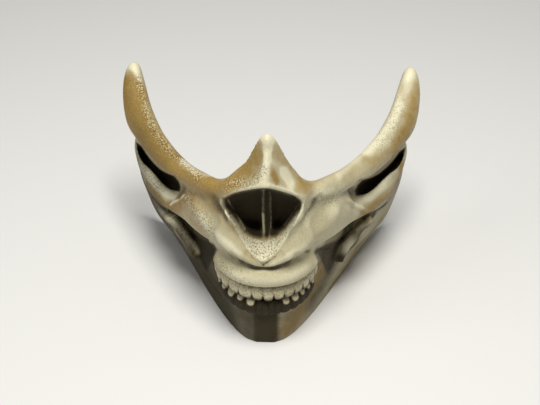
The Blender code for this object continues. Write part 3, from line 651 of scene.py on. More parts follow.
CREASES = (
    ("soft", 4.5, -1.3, ((213, 196), (217, 205), (223, 214), (230, 225), (238, 236), (245, 246))),
    ("sharp", 2, -1.6, ((171, 211), (178, 217.5), (186, 226), (193, 235))),
    ("sharp", 2.2, -1.9, ((248, 252.5), (256, 259), (263, 264))),
    ("soft", 2.4, -0.9, ((231, 253), (241, 261), (252, 266.5), (263, 268.5))),
    ("sharp", 1.3, -0.6, ((168, 203), (175, 199), (181, 195))),
    ("soft", 2, -0.7, ((172, 209), (180, 204.5), (187, 200))),
    ("sharp", 2.2, -1.6, ((139, 170), (144, 183), (153, 198), (163, 208), (171, 211))),
    ("soft", 2.6, -0.7, ((204, 273), (213, 285), (221, 296))),
    ("soft", 5, -0.7, ((236, 181), (246, 173), (254, 162), (260, 150))),
    ("soft", 2.4, -0.6, ((141, 172), (150, 186), (161, 197), (170, 201))),
)
# Places where the forms run into each other: reach, rounds of filling and the line.
BLENDS = (
    (9, 70, ((217, 206), (218, 222), (220, 238), (222, 252))),
    (7, 45, ((222, 252), (232, 259), (243, 266), (254, 270), (267, 271))),
    (8, 40, ((219, 180), (226, 188), (221, 192))),
    (6, 40, ((228, 250), (236, 244), (243, 252))),
)


def tree_of(mesh):
    return BVHTree.FromPolygons([v.co for v in mesh.vertices], [tuple(p.vertices) for p in mesh.polygons])


def line_on(tree, pixels):
    """The line on the mask, in millimetres, that these pixels of the photograph's frame fall on."""
    origin = Vector((camera_place() - [0, MIDDLE_Y, 0]) * MM)
    found = []
    for x, y in pixels:
        hit = tree.ray_cast(origin, Vector(pixel_way(x, y)))[0]
        if hit is not None:
            found.append(np.array(hit) / MM)
    return smooth_rows(found, step=1.0) if len(found) > 1 else found


def distance_to(line, points):
    """How far each point is from a line through these corners."""
    best = np.full(len(points), np.inf)
    for a, b in zip(line[:-1], line[1:]):
        run = b - a
        t = np.clip((points - a) @ run / max(run @ run, 1e-9), 0, 1)
        best = np.minimum(best, np.linalg.norm(points - a - t[:, None] * run, axis=1))
    return best


def nearness(places, line, reach):
    """From 1 on the line to 0 at its reach, for each place."""
    near = np.zeros(len(places))
    low, high = line.min(axis=0) - reach, line.max(axis=0) + reach
    chosen = np.where(((places > low) & (places < high)).all(axis=1))[0]
    near[chosen] = np.clip(1 - distance_to(line, places[chosen]) / reach, 0, 1)
    return near


def modelled(mesh, strokes):
    """Raises ridges and presses creases along these strokes, on both halves."""
    tree = tree_of(mesh)
    places, normals = places_of(mesh), normals_of(mesh)
    for kind, reach, height, pixels in strokes:
        line = line_on(tree, pixels)
        if len(line) < 2:
            continue
        for side in (1, -1):
            near = nearness(places, line * [side, 1, 1], reach)
            shape = near**1.6 if kind == "sharp" else eased(near, 0, 1)
            places = places + normals * (height * shape)[:, None]
    set_places(mesh, places)


def dents(mesh, rounds):
    """How far each place lies below the surface smoothed by this many rounds, in millimetres."""
    edges, degree = edge_table(mesh)
    places, normals = places_of(mesh), normals_of(mesh)
    smoothed = places
    for _ in range(rounds):
        smoothed = neighbour_mean(smoothed, edges, degree)
    depth = ((smoothed - places) * normals).sum(axis=1)[:, None]
    for _ in range(3):
        depth = neighbour_mean(depth, edges, degree)
    return depth[:, 0]


def keep_values(mesh, name, values):
    """Stores a value for each place, which the materials read by this name."""
    layer = mesh.attributes.new(name, "FLOAT", "POINT")
    layer.data.foreach_set("value", np.asarray(values, dtype=np.float32))


def blended(mesh, lines):
    """Fills the hollows along these lines on both halves, until the forms beside them run together."""
    tree = tree_of(mesh)
    places = places_of(mesh)
    last = np.zeros(len(places))
    for reach, rounds, pixels in lines:
        line = line_on(tree, pixels)
        near = np.maximum(nearness(places, line, reach), nearness(places, line * [-1, 1, 1], reach))
        last = np.maximum(last, rounds * np.clip(near * 2, 0, 1))
    edges = edge_table(mesh)[0]
    edges = edges[(last[edges] > 0).any(axis=1)]
    used, local = np.unique(edges, return_inverse=True)
    local = local.reshape(-1, 2)
    degree = np.bincount(local.ravel(), minlength=len(used))[:, None]
    for i in range(int(last.max())):
        if i % 8 == 0:
            set_places(mesh, places)
            normals = normals_of(mesh)[used]
        move = neighbour_mean(places[used], local, degree) - places[used]
        outward = (move * normals).sum(axis=1)
        weight = np.clip(last[used] - i, 0, 1) * np.where(outward > 0, 0.6, 0.1)
        places[used] += move * weight[:, None]
    set_places(mesh, places)


def fitted(mesh, spare=0.02):
    """Draws the shell in by a hair where it stands out of the part's box."""
    places = places_of(mesh)
    low, high = np.array(cad_box[0]) / MM, np.array(cad_box[1]) / MM
    for axis in range(3):
        for side, edge in ((-1, low[axis]), (1, high[axis])):
            most = (side * places[:, axis]).max()
            if most > side * edge:
                part = np.clip(side * places[:, axis] / most, 0, 1)
                places[:, axis] -= side * (most - side * edge + spare) * part**4
    set_places(mesh, places)


def make_shell():
    """The shell: forms fused, openings carved, strokes worked in, then hollowed and set on the ground."""
    shell = add_object("bone_shell", mesh_from("bone_shell", clay()))
    softened(fused(shell, SHELL_VOXEL), 22, 0.35)
    cutters = []
    for i, levels in enumerate(OPENINGS):
        rings = opening_rings(levels)
        cutters.append(cut(shell, f"opening_{i}", rings))
        first_way = levels[0][0]
        if first_way[0] != 0:
            cutters.append(cut(shell, f"opening_{i}_right", mirrored(rings)))
    mesh = fused(shell, SHELL_VOXEL)
    softened(mesh, 5, 0.7)
    blended(mesh, BLENDS)
    modelled(mesh, RIDGES)
    modelled(mesh, CREASES)
    softened(mesh, 2, 0.8)
    ground = [[(x, y, z) for y, z in ((-80, -9), (80, -9), (80, 0), (-80, 0))] for x in (-100, 100)]
    for name, rings in (("face_hollow", cavity_rings()), ("teeth_seat", seat_rings()), ("ground", ground)):
        cutters.append(cut(shell, name, rings))
    mesh = baked(shell)
    for cutter in cutters:
        bpy.data.objects.remove(cutter)
    places = places_of(mesh)
    places[:, 0] += BRIDGE_LEAN * eased(places[:, 2], BRIDGE_LEAN_FROM, BRIDGE_LEAN_TO)
    set_places(mesh, places)
    fitted(mesh)
    mesh.shade_smooth()
    return shell


def spread(cells, radius):
    """The cells of a block within this many cells of a marked one."""
    steps = np.arange(-radius, radius + 1)
    squares = sum(g**2 for g in np.meshgrid(steps, steps, steps, indexing="ij"))
    kernel = np.zeros(cells.shape)
    size = 2 * radius + 1
    kernel[:size, :size, :size] = squares <= radius**2 + 0.5
    kernel = np.roll(kernel, (-radius, -radius, -radius), axis=(0, 1, 2))
    found = np.fft.irfftn(np.fft.rfftn(cells.astype(float)) * np.fft.rfftn(kernel), cells.shape)
    return found > 0.5


def pocket_depths(places, cell=1.5, reach=5, steps=6):
    """How deep each place lies in a pocket narrower than twice the reach, in millimetres."""
    low = places.min(axis=0) - cell * (reach + 3)
    shape = np.ceil((places.max(axis=0) - low) / cell).astype(int) + reach + 4
    index = ((places - low) / cell).astype(int)
    skin = np.zeros(shape, dtype=bool)
    skin[tuple(index.T)] = True
    closed = ~spread(~spread(skin, reach), reach)
    depth = np.zeros(shape)
    for radius in range(1, steps + 1):
        depth += ~spread(~closed, radius)
    depth = sum(np.roll(depth, shift, axis) for axis in range(3) for shift in (-1, 0, 1)) / 9.0
    return depth[tuple(index.T)] * cell


# Paint as the photograph shows it on each half. Each stroke gives its amount, its reach in
# millimetres and its line in pixels.
# Golden stain.
STAIN = (
    (1.5, 20, ((124, 76), (128, 100), (134, 120), (142, 138), (154, 152), (168, 165), (182, 175))),
    (0.8, 10, ((126, 66), (128, 82), (132, 98))),
    (1, 14, ((196, 178), (210, 184), (224, 184), (236, 178), (246, 166), (253, 152), (258, 140))),
    (0.7, 13, ((200, 186), (208, 194), (216, 204))),
    (0.6, 12, ((184, 188), (188, 198), (194, 212), (200, 222))),
    (1.3, 4.6, ((135, 152), (138, 166), (144, 181), (152, 194), (162, 203), (174, 206), (186, 200))),
    (1, 9, ((136, 156), (140, 172), (148, 188), (160, 200))),
    (0.9, 16, ((158, 214), (170, 230), (182, 250), (192, 268))),
    (0.8, 12, ((414, 92), (413, 108), (410, 124), (404, 140), (397, 152))),
    (0.6, 12, ((400, 140), (388, 152), (372, 160))),
    (0.6, 12, ((276, 152), (284, 162), (297, 177), (306, 186))),
    (0.25, 12, ((306, 186), (330, 178), (350, 168))),
    (0.65, 12, ((176, 206), (184, 214), (192, 224), (200, 232))),
    (1.1, 3.2, ((273, 174), (275, 178), (277, 182))),
    (0.9, 7, ((403, 165), (397, 182), (388, 196), (374, 206), (362, 213))),
    (1, 10, ((395, 205), (380, 222), (362, 242), (345, 268), (332, 286))),
    (1, 20, ((318, 276), (306, 300), (292, 325))),
    (0.7, 10, ((214, 262), (222, 274), (234, 286))),
    (0.4, 9, ((222, 244), (236, 254), (250, 262))),
    (0.6, 7, ((232, 226), (246, 234), (266, 236), (284, 232), (294, 220))),
    (1.5, 4.5, ((180, 227), (186, 235), (193, 246), (196, 252))),
    (1, 8, ((372, 218), (362, 232), (352, 247), (343, 260))),
)
# Places rubbed pale and the pale patches, with painted highlights where ridges, shelves and cheeks catch the
# light.
BRIGHT = (
    (0.5, 9, ((306, 200), (320, 192), (338, 190))),
    (0.8, 6, ((182, 161), (196, 170), (208, 175), (220, 174))),
    (0.5, 3, ((133, 64), (136, 72), (138, 80))),
    (0.6, 5, ((411, 73), (409, 88), (404, 104))),
    (0.7, 7, ((399, 108), (394, 126), (384, 142), (370, 152))),
    (2.2, 6.5, ((144, 165), (150, 174), (158, 184), (167, 191), (176, 193))),
    (1.6, 1.6, ((170, 204), (177, 200), (184, 195))),
    (0.9, 7, ((356, 203), (368, 197), (378, 188), (388, 174))),
    (3, 4.8, ((283.5, 173), (287, 178), (290.5, 183))),
    (1.2, 3.2, ((269, 158), (275, 163), (281, 169))),
    (1.5, 5, ((268, 134), (269, 142), (268, 150))),
    (1.3, 3.4, ((268, 150), (266, 160), (264, 172), (262, 182))),
    (0.8, 1.1, ((222, 199), (220.5, 203), (223, 208), (233, 223), (241, 237), (251, 252), (260, 261))),
    (0.3, 1, ((224, 196), (235, 191.5), (250, 188))),
    (0.7, 1.1, ((250, 188), (266, 184.5), (282, 188.5), (297, 195))),
    (0.6, 2, ((303, 203), (299, 213), (291, 228), (282, 243), (272, 256))),
    (0.9, 10, ((206, 221), (214, 232), (226, 244))),
    (0.8, 12, ((298, 226), (318, 212), (334, 204))),
    (0.6, 7, ((234, 275), (248, 279), (265, 281), (285, 279), (305, 266))),
    (2.4, 2, ((174, 217), (181, 226), (188, 234.5), (194, 243), (198, 252))),
    (0.7, 2, ((396, 196), (388, 212), (370, 232), (352, 252), (340, 270), (326, 290))),
    (0.6, 2, ((339, 252), (328, 268), (318, 280))),
)
# Speckled places.
GRAIN = (
    (0.9, 10, ((186, 196), (192, 208), (200, 220), (214, 236))),
    (1.2, 4, ((140, 78), (147, 110), (152, 124), (160, 138), (170, 150), (186, 164), (200, 176))),
    (0.7, 9, ((216, 262), (228, 274), (244, 284))),
    (0.7, 7, ((366, 192), (384, 178), (392, 166))),
    (0.9, 5, ((228, 186), (240, 184), (254, 180), (264, 170))),
    (0.9, 7, ((144, 166), (152, 178), (162, 189))),
    (0.5, 9, ((400, 100), (392, 128), (380, 145))),
    (0.8, 3, ((174, 217), (184, 230), (196, 250))),
    (0.5, 9, ((296, 214), (312, 200), (334, 196))),
)
# Painted shade in creases and folds.
DARK = (
    (0.4, 6, ((212, 197), (217, 207), (224, 219), (232, 231), (240, 242))),
    (0.3, 6, ((303, 216), (310, 209), (320, 203))),
    (1.2, 1.7, ((141, 176), (150, 194), (161, 207), (171, 211.5), (178, 217.5), (186, 226), (193, 235))),
    (1, 3, ((402, 172), (396, 190), (386, 204), (372, 212), (362, 222), (354, 232))),
    (0.8, 2, ((306, 251), (318, 250), (328, 249))),
    (0.7, 1.8, ((328, 244), (338, 238), (352, 230))),
    (0.7, 1.6, ((330, 254), (342, 248), (354, 238))),
    (0.8, 2, ((345, 262), (334, 277), (318, 294))),
    (0.5, 2, ((236, 255), (252, 266), (264, 268.6), (278, 265), (294, 254))),
    (1.8, 1.5, ((251, 256), (257, 260.5), (263, 264.5))),
    (1.8, 1.5, ((275, 256), (269.5, 260.5), (263.5, 264.5))),
    (0.45, 4.5, ((322, 185), (331, 184), (338, 187))),
    (0.25, 1.6, ((222, 280), (240, 285.5), (266, 287), (292, 284.5), (311, 276))),
)
# Broad shadow on the jaw, in the cheek gaps and down the left edge.
DEEP = (
    (1.1, 8.5, ((267, 308), (267, 326), (267, 341))),
    (0.4, 22, ((196, 262), (210, 284), (222, 306))),
    (0.45, 7, ((372, 218), (362, 232), (352, 247), (343, 260))),
    (0.25, 14, ((335, 262), (325, 280), (314, 298))),
    (0.4, 16, ((124, 84), (130, 108), (140, 132), (152, 148), (164, 160))),
)
# Edges that stay light inside the dark: painted shade is taken off them, as painted highlight where they
# catch the light.
LIFT = (
    (0.7, 5, ((160, 212), (169, 222), (177, 233), (184, 244), (189, 254))),
    (1.3, 2.8, ((171, 215), (177, 222), (184, 231.5), (190, 240), (195, 248), (197.5, 253))),
    (0.55, 0.9, ((263, 190), (263, 204), (263, 222), (263, 240))),
    (0.5, 1.4, ((263, 214), (263.5, 226), (264, 242))),
    (0.5, 0.8, ((270.4, 192), (270.4, 208), (270.6, 226), (270, 238))),
    (0.45, 1.1, ((228, 200), (233, 208), (239, 218), (245, 229))),
    (0.35, 1, ((297, 206), (291, 215), (284, 225))),
)
LAYERS = {"stain": STAIN, "bright": BRIGHT, "grain": GRAIN, "dark": DARK, "deep": DEEP, "lift": LIFT}


def laid(mesh, places):
    """Each layer's amount at each place."""
    tree = tree_of(mesh)
    layers = {name: np.zeros(len(places)) for name in LAYERS}
    for name, strokes in LAYERS.items():
        for amount, reach, pixels in strokes:
            line = line_on(tree, pixels)
            if len(line) > 1:
                layers[name] += amount * eased(nearness(places, line, reach), 0, 1)
    return layers


# Crowns: cuts in each cube's edges, how square the rounded cube stays, and how much their fronts,
# their free ends and their roots differ from one to the next.
CROWN_CUTS, CROWN_SQUARE = 5, 2.8
FRONT_VARIES, UPPER_END_VARIES, UPPER_ROOT_VARIES, LOWER_END_VARIES = 0.45, 1.0, 0.5, 1.2


def make_crown(place, way, width, depths, heights, tip):
    """One tooth: a cube rounded off, full in its middle and narrow at its root."""
    (front, back), (low, high) = depths, heights
    across = np.array([-way[1], way[0]])
    crown = bmesh.new()
    bmesh.ops.create_cube(crown, size=2.0)
    bmesh.ops.subdivide_edges(crown, edges=crown.edges, cuts=CROWN_CUTS, use_grid_fill=True)
    for v in crown.verts:
        c = np.array(v.co)
        c = c / (np.abs(c) ** CROWN_SQUARE).sum() ** (1 / CROWN_SQUARE)
        root = (1 - tip * c[2]) / 2
        narrow = 0.84 + 0.26 * math.sin(math.pi * (0.1 + 0.65 * root))
        swell = 1.5 * math.sin(math.pi * min(1.0, 0.25 + 0.55 * root)) - 0.9
        x = c[0] * width / 2 * narrow
        depth = (front + back) / 2 + c[1] * (front - back) / 2 + swell * max(0.0, c[1])
        z = (low + high) / 2 + c[2] * (high - low) / 2
        spot = place + across * x + way * depth
        v.co = Vector((spot[0], spot[1] - MIDDLE_Y, z)) * MM
    return crown


def backing_rings(plan, edges, top, bottom):
    """Rings of the strip behind the crowns that makes the row one casting."""
    rings = []
    for s in np.linspace(edges[0] + 0.6, edges[-1] - 0.6, 40):
        place, way, t = along_teeth(s, *plan)
        corners = ((-2.6, bottom + 1.0), (-2.6, top - 0.8), (GAP - t, top - 0.3), (GAP - t, bottom + 0.3))
        rings.append([(*(place + way * d), z) for d, z in corners])
    return rings


def make_teeth_row(name, edges, top, bottom, setback, tip, seed):
    """A row of crowns on the gum's curve, fused into one casting. Tip is 1 where they point up, or -1."""
    plan = teeth_plan()
    rng = np.random.default_rng(seed)
    mesh = bpy.data.meshes.new(name)
    work = bmesh.new()
    for start, end in zip(edges[:-1], edges[1:]):
        place, way, t = along_teeth((start + end) / 2, *plan)
        front = -setback - rng.uniform(0.0, FRONT_VARIES)
        low = bottom + (0 if tip > 0 else rng.uniform(0.0, UPPER_END_VARIES))
        high = top - rng.uniform(0.0, LOWER_END_VARIES if tip > 0 else UPPER_ROOT_VARIES)
        crown = make_crown(place, way, end - start, (front, GAP - t), (low, high), tip)
        crown.to_mesh(mesh)
        crown.free()
        work.from_mesh(mesh)
    backing = mesh_from(name + "_backing", [backing_rings(plan, edges, top, bottom)])
    work.from_mesh(backing)
    bpy.data.meshes.remove(backing)
    bmesh.ops.recalc_face_normals(work, faces=work.faces)
    work.to_mesh(mesh)
    work.free()
    row = add_object(name, mesh)
    mesh = fused(row, TOOTH_VOXEL)
    softened(mesh, 2, 0.8)
    mesh.shade_smooth()
    return row


# The paint's noises: the scale per metre, the detail and the roughness of each.
CLOUD, MOTTLE, GRIT = (45.0, 4.0, 0.6), (260.0, 3.0, 0.6), (1300.0, 2.0, 0.6)
# The depth of the paint's relief in metres, and its shine.
BUMP_DEPTH, SHEEN = 0.0006, 0.3


def new_group(name, inputs, outputs):
    group = bpy.data.node_groups.new(name, "ShaderNodeTree")
    for label, kind, value in inputs:
        socket = group.interface.new_socket(label, in_out="INPUT", socket_type=kind)
        if value is not None:
            socket.default_value = value
    for label, kind in outputs:
        group.interface.new_socket(label, in_out="OUTPUT", socket_type=kind)
    return group, group.nodes.new("NodeGroupInput"), group.nodes.new("NodeGroupOutput")


def math_of(tree, operation, a, b, clamp=False):
    node = tree.nodes.new("ShaderNodeMath")
    node.operation = operation
    node.use_clamp = clamp
    for socket, value in zip(node.inputs, (a, b)):
        if isinstance(value, bpy.types.NodeSocket):
            tree.links.new(value, socket)
        else:
            socket.default_value = value
    return node.outputs[0]


def ramp_of(tree, value, low, high, to_low=0.0, to_high=1.0):
    node = tree.nodes.new("ShaderNodeMapRange")
    node.interpolation_type = "SMOOTHSTEP"
    tree.links.new(value, node.inputs["Value"])
    for label, number in zip(("From Min", "From Max", "To Min", "To Max"), (low, high, to_low, to_high)):
        node.inputs[label].default_value = number
    return node.outputs[0]


def blend_of(tree, amount, a, b):
    node = tree.nodes.new("ShaderNodeMix")
    node.data_type = "RGBA"
    for socket, value in ((node.inputs[0], amount), (node.inputs[6], a), (node.inputs[7], b)):
        if isinstance(value, bpy.types.NodeSocket):
            tree.links.new(value, socket)
        else:
            socket.default_value = value
    return node.outputs[2]


def noise_of(tree, place, scale, detail, rough):
    node = tree.nodes.new("ShaderNodeTexNoise")
    node.inputs["Scale"].default_value = scale
    node.inputs["Detail"].default_value = detail
    node.inputs["Roughness"].default_value = rough
    tree.links.new(place, node.inputs["Vector"])
    return node.outputs[0]


def stirred(tree, value, noise, amount):
    """The value, moved up and down by this much of a noise whose middle is a half."""
    move = math_of(tree, "MULTIPLY", math_of(tree, "SUBTRACT", noise, 0.5), amount)
    return math_of(tree, "ADD", value, move)


def value_of(tree, name):
    node = tree.nodes.new("ShaderNodeAttribute")
    node.attribute_type = "GEOMETRY"
    node.attribute_name = name
    return node.outputs["Fac"]


def make_bone_paint():
    """Cream bone with golden stain, dark painted shade in its hollows and creases, and rubbed high places
    that are partly painted highlights.
    """
    group, given, out = new_group(
        "bone paint",
        [
            ("Place", "NodeSocketVector", None),
            ("Cream", "NodeSocketColor", (0.5, 0.455, 0.29, 1)),
            ("Gold", "NodeSocketColor", (0.32, 0.205, 0.05, 1)),
            # Painted shade for creases and hollows; the bone's own dark pits take this colour too.
            ("Shade_and_pits", "NodeSocketColor", (0.022, 0.014, 0.003, 1)),
            # Rubbed wear and painted highlight on high places, and the pale grains.
            ("Rubbed_and_highlight", "NodeSocketColor", (0.8, 0.755, 0.55, 1)),
            # Painted shadow on the jaw, partly its darker paint.
            ("Shadow", "NodeSocketColor", (0.022, 0.016, 0.004, 1)),
            ("Shade", "NodeSocketFloat", 0.0),
            ("Stain", "NodeSocketFloat", 0.0),
            ("Dent", "NodeSocketFloat", 0.0),
            ("Hollow", "NodeSocketFloat", 0.0),
            ("Grain", "NodeSocketFloat", 0.5),
        ],
        [("Colour", "NodeSocketColor"), ("Roughness", "NodeSocketFloat"), ("Height", "NodeSocketFloat")],
    )
    read = given.outputs
    cloud = noise_of(group, read["Place"], *CLOUD)
    mottle = noise_of(group, read["Place"], *MOTTLE)
    grit = noise_of(group, read["Place"], *GRIT)

    stain = stirred(group, stirred(group, read["Stain"], cloud, 0.9), mottle, 0.9)
    stain = ramp_of(group, stirred(group, stain, grit, 1.3), -0.1, 1.1)
    colour = blend_of(group, stain, read["Cream"], read["Gold"])

    # The dent paints shade into creases and, the other way round, paints rounded high places paler, partly
    # rubbed wear and partly painted highlight.
    dent = stirred(group, read["Dent"], mottle, 0.12)
    colour = blend_of(group, ramp_of(group, dent, 0.06, 0.5, 0.0, 0.8), colour, read["Shade_and_pits"])
    rub_and_highlight = math_of(group, "MULTIPLY", ramp_of(group, dent, -0.3, -0.9), 0.8)
    colour = blend_of(group, rub_and_highlight, colour, read["Rubbed_and_highlight"])

    # Painted shade in the pockets and dark hollows, then painted shadow on the jaw.
    hollow = stirred(group, stirred(group, read["Hollow"], mottle, 0.3), grit, 0.5)
    colour = blend_of(group, ramp_of(group, hollow, 0.1, 0.9), colour, read["Shade_and_pits"])
    shade = stirred(group, read["Shade"], cloud, 0.4)
    colour = blend_of(group, ramp_of(group, shade, 0.05, 1.0, 0.0, 0.95), colour, read["Shadow"])

    pits = ramp_of(group, grit, 0.36, 0.5)
    speck = math_of(group, "MULTIPLY", read["Grain"], math_of(group, "SUBTRACT", 1.0, pits))
    colour = blend_of(group, math_of(group, "MULTIPLY", speck, 0.55), colour, read["Shade_and_pits"])
    # The painted shade's two masks together: glints stay out of them and they are rougher.
    shaded = math_of(group, "MAXIMUM", read["Hollow"], read["Shade"])
    unshaded = math_of(group, "SUBTRACT", 1.0, shaded, True)
    glint = math_of(group, "MULTIPLY", read["Grain"], ramp_of(group, grit, 0.53, 0.63))
    glint = math_of(group, "MULTIPLY", glint, math_of(group, "MULTIPLY", unshaded, 0.65), True)
    colour = blend_of(group, glint, colour, read["Rubbed_and_highlight"])
    group.links.new(colour, out.inputs["Colour"])

    rough = math_of(group, "ADD", 0.36, math_of(group, "MULTIPLY", mottle, 0.16))
    rough = math_of(group, "ADD", rough, math_of(group, "MULTIPLY", shaded, 0.45), True)
    group.links.new(rough, out.inputs["Roughness"])
    height = math_of(group, "MULTIPLY", pits, read["Grain"])
    height = math_of(group, "ADD", height, math_of(group, "MULTIPLY", mottle, 0.5))
    group.links.new(height, out.inputs["Height"])
    return group


def make_material(name, group, colours, relief):
    material = bpy.data.materials.new(name)
    material.use_nodes = True
    tree = material.node_tree
    surface = tree.nodes["Principled BSDF"]
    place = tree.nodes.new("ShaderNodeTexCoord").outputs["Object"]
    paint = tree.nodes.new("ShaderNodeGroup")
    paint.node_tree = group
    tree.links.new(place, paint.inputs["Place"])
    for label, colour in colours.items():
        paint.inputs[label].default_value = (*colour, 1.0)
    for label in ("Stain", "Dent", "Hollow", "Grain", "Shade"):
        tree.links.new(value_of(tree, label.lower()), paint.inputs[label])
    bump = tree.nodes.new("ShaderNodeBump")
    bump.inputs["Strength"].default_value = relief
    bump.inputs["Distance"].default_value = BUMP_DEPTH
    tree.links.new(paint.outputs["Height"], bump.inputs["Height"])
    tree.links.new(paint.outputs["Colour"], surface.inputs["Base Color"])
    tree.links.new(paint.outputs["Roughness"], surface.inputs["Roughness"])
    tree.links.new(bump.outputs["Normal"], surface.inputs["Normal"])
    surface.inputs["Specular IOR Level"].default_value = SHEEN
    return material


def pixels_of(places):
    """Where places in millimetres fall in the photograph's frame, in pixels."""
    right, up, back = camera_axes()
    away = places + [0, MIDDLE_Y, 0] - camera_place()
    depth = -(away @ back)
    return np.column_stack(
        [
            AIM_PIXEL[0] + FOCAL_PIXELS * (away @ right) / depth,
            AIM_PIXEL[1] - FOCAL_PIXELS * (away @ up) / depth,
        ]
    )


def inside(points, outline, soft=1.5):
    """From 1 well inside the outline to 0 outside it, over this many pixels."""
    line = np.array([*outline, outline[0]], float)
    crossed = np.zeros(len(points), dtype=bool)
    for a, b in zip(line[:-1], line[1:]):
        level = (a[1] > points[:, 1]) != (b[1] > points[:, 1])
        with np.errstate(divide="ignore", invalid="ignore"):
            at = a[0] + (points[:, 1] - a[1]) * (b[0] - a[0]) / (b[1] - a[1])
        crossed ^= level & (points[:, 0] < at)
    near = distance_to(line, points)
    return eased(np.where(crossed, near, -near), -soft / 2, soft / 2)


def in_sight(outline, places, normals, soft, side):
    """The inside of an outline on the faces turned to the camera; side -1 mirrors the outline."""
    turned = np.array([side, 1, 1])
    facing = eased((normals * turned) @ camera_axes()[2], -0.35, 0.0)
    return inside(pixels_of(places * turned), outline, soft) * facing


# Where the nose's dark starts and ends in depth, where its speckled floor ends, and the row of
# pixels that the floor starts below.
NOSE_FRONT, NOSE_BACK, FLOOR_BACK, FLOOR_ROW = -47.95, -28.0, -38.0, 215.0
# Pockets this deep start to take painted shade, and are fully shaded from this depth on.
POCKET_PALE, POCKET_DARK = 3.0, 7.5
# Half the width of the jaw's front, which is dark from the gum down.
JAW_FRONT = 31.0


def nose_masks(places, normals):
    """The dark inside of the nose, and the speckled floor in front of it."""
    toward = normals @ camera_axes()[2]
    pixels = pixels_of(places)
    y = places[:, 1]
    dark = inside(pixels, NOSE_DARK, 9.0) * ((y > NOSE_FRONT) & (y < NOSE_BACK) & (toward > -0.4))
    floor = inside(pixels, NOSE_RIM, 2.0) * (1 - dark)
    return dark, floor * ((toward > 0) & (y < FLOOR_BACK) & (pixels[:, 1] > FLOOR_ROW))


def hollow_masks(mesh, places, normals):
    """Every hollow that the photograph shows dark, as painted shade, and the nose's floor, which stays
    light.
    """
    edges, degree = edge_table(mesh)
    hollow = eased(pocket_depths(places), POCKET_PALE, POCKET_DARK)[:, None]
    for _ in range(4):
        hollow = neighbour_mean(hollow, edges, degree)
    nose, floor = nose_masks(places, normals)
    hollow = np.maximum(hollow[:, 0] * (1 - floor), nose)
    for side, depth in ((1, 0.95), (-1, 0.7)):
        hollow = np.maximum(hollow, in_sight(SLOT, places, normals, 3.0, side))
        hollow = np.maximum(hollow, in_sight(CHEEK_GAP, places, normals, 5.0, side) * depth)
    return hollow, floor


def jaw_shade(places):
    """How dark the jaw is, as painted shade together with the jaw's darker paint: most on the photograph's
    left half, and behind the cheeks.
    """
    x, y, z = places.T
    front = np.abs(x) < JAW_FRONT
    below = eased(-z, -50.0, -44.0) * front + eased(-z, -72.0, -50.0) * ~front
    behind = eased(y, -8.0, 4.0) * eased(-z, -76.0, -66.0) * (0.5 - 0.3 * eased(x, -20.0, 20.0))
    return np.maximum(below * (0.82 - 0.36 * eased(x, -2.0, 8.0)), behind)


def paint_shell(mesh):
    """Keeps on the shell how much of each of the paint's effects every place gets, painted shade and
    highlights among them.
    """
    places, normals = places_of(mesh), normals_of(mesh)
    layers = laid(mesh, places)
    hollow, floor = hollow_masks(mesh, places, normals)
    # The bright strokes, partly painted highlights, take the gold stain off.
    stain = layers["stain"] - 0.5 * layers["bright"]
    dent = dents(mesh, 14) * (1 - floor) * (1 - 0.6 * np.clip(stain, 0, 1))
    keep_values(mesh, "stain", stain)
    # Creases and dark strokes take painted shade; bright strokes and the nose's floor take painted
    # highlight.
    keep_values(mesh, "dent", dent + 0.4 * layers["dark"] - 0.5 * layers["bright"] - 0.8 * floor)
    # Painted shade in the hollows, taken off the edges that catch the light.
    keep_values(mesh, "hollow", hollow - layers["lift"])
    keep_values(mesh, "grain", 0.2 + layers["grain"] + 0.9 * floor)
    # Painted shadow on the jaw, in the cheek gaps and down the left horn, partly the jaw's darker paint.
    keep_values(mesh, "shade", jaw_shade(places) + layers["deep"] - 0.4 * layers["lift"])


def paint_teeth(mesh, edges, tip):
    """Painted shade between and above the upper crowns, and all over the lower ones but for their lit tips.
    """
    places = places_of(mesh)
    length, line = teeth_plan()[:2]
    flat = places[:, :2] + [0, MIDDLE_Y]
    nearest = np.array([np.argmin(((line - p) ** 2).sum(axis=1)) for p in flat])
    along, z = length[nearest], places[:, 2]
    edges = np.array(edges)
    middles, halves = (edges[1:] + edges[:-1]) / 2, (edges[1:] - edges[:-1]) / 2
    which = np.argmin(np.abs(along[:, None] - middles), axis=1)
    off = np.abs(along - middles[which]) / halves[which]
    if tip < 0:
        crown_shade = eased(-z, -44.5, -39.0) * 0.85 + eased(off, 0.7, 1.0) * eased(-z, -47.5, -42.0) * 0.8
    else:
        vary = np.random.default_rng(4).uniform(0.7, 1.0, len(middles))[which]
        lit = eased(-np.hypot(off / (0.85 * vary), (z - 37.2 + vary) / (2.8 * vary)), -1.15, -0.6)
        lit *= np.abs(middles[which] - 2.0) > 8.0
        crown_shade = 0.9 + 0.1 * eased(off, 0.6, 1.0) - 0.85 * lit
    keep_values(mesh, "stain", np.full(len(places), 0.3))
    # Painted shade in the creases between crowns, and painted highlight on their rounded high places.
    keep_values(mesh, "dent", dents(mesh, 8) * 2.0)
    keep_values(mesh, "hollow", np.clip(crown_shade, 0, 1))
    keep_values(mesh, "grain", np.full(len(places), 1.0 if tip < 0 else 0.5))
    keep_values(mesh, "shade", np.full(len(places), 0.08))


# Half the floor's side and the place that the lights aim at, in metres, and the sensor's width.
FLOOR_HALF, LIGHTS_AIM, SENSOR = 3.0, (0.0, 0.0, 0.06), 36.0


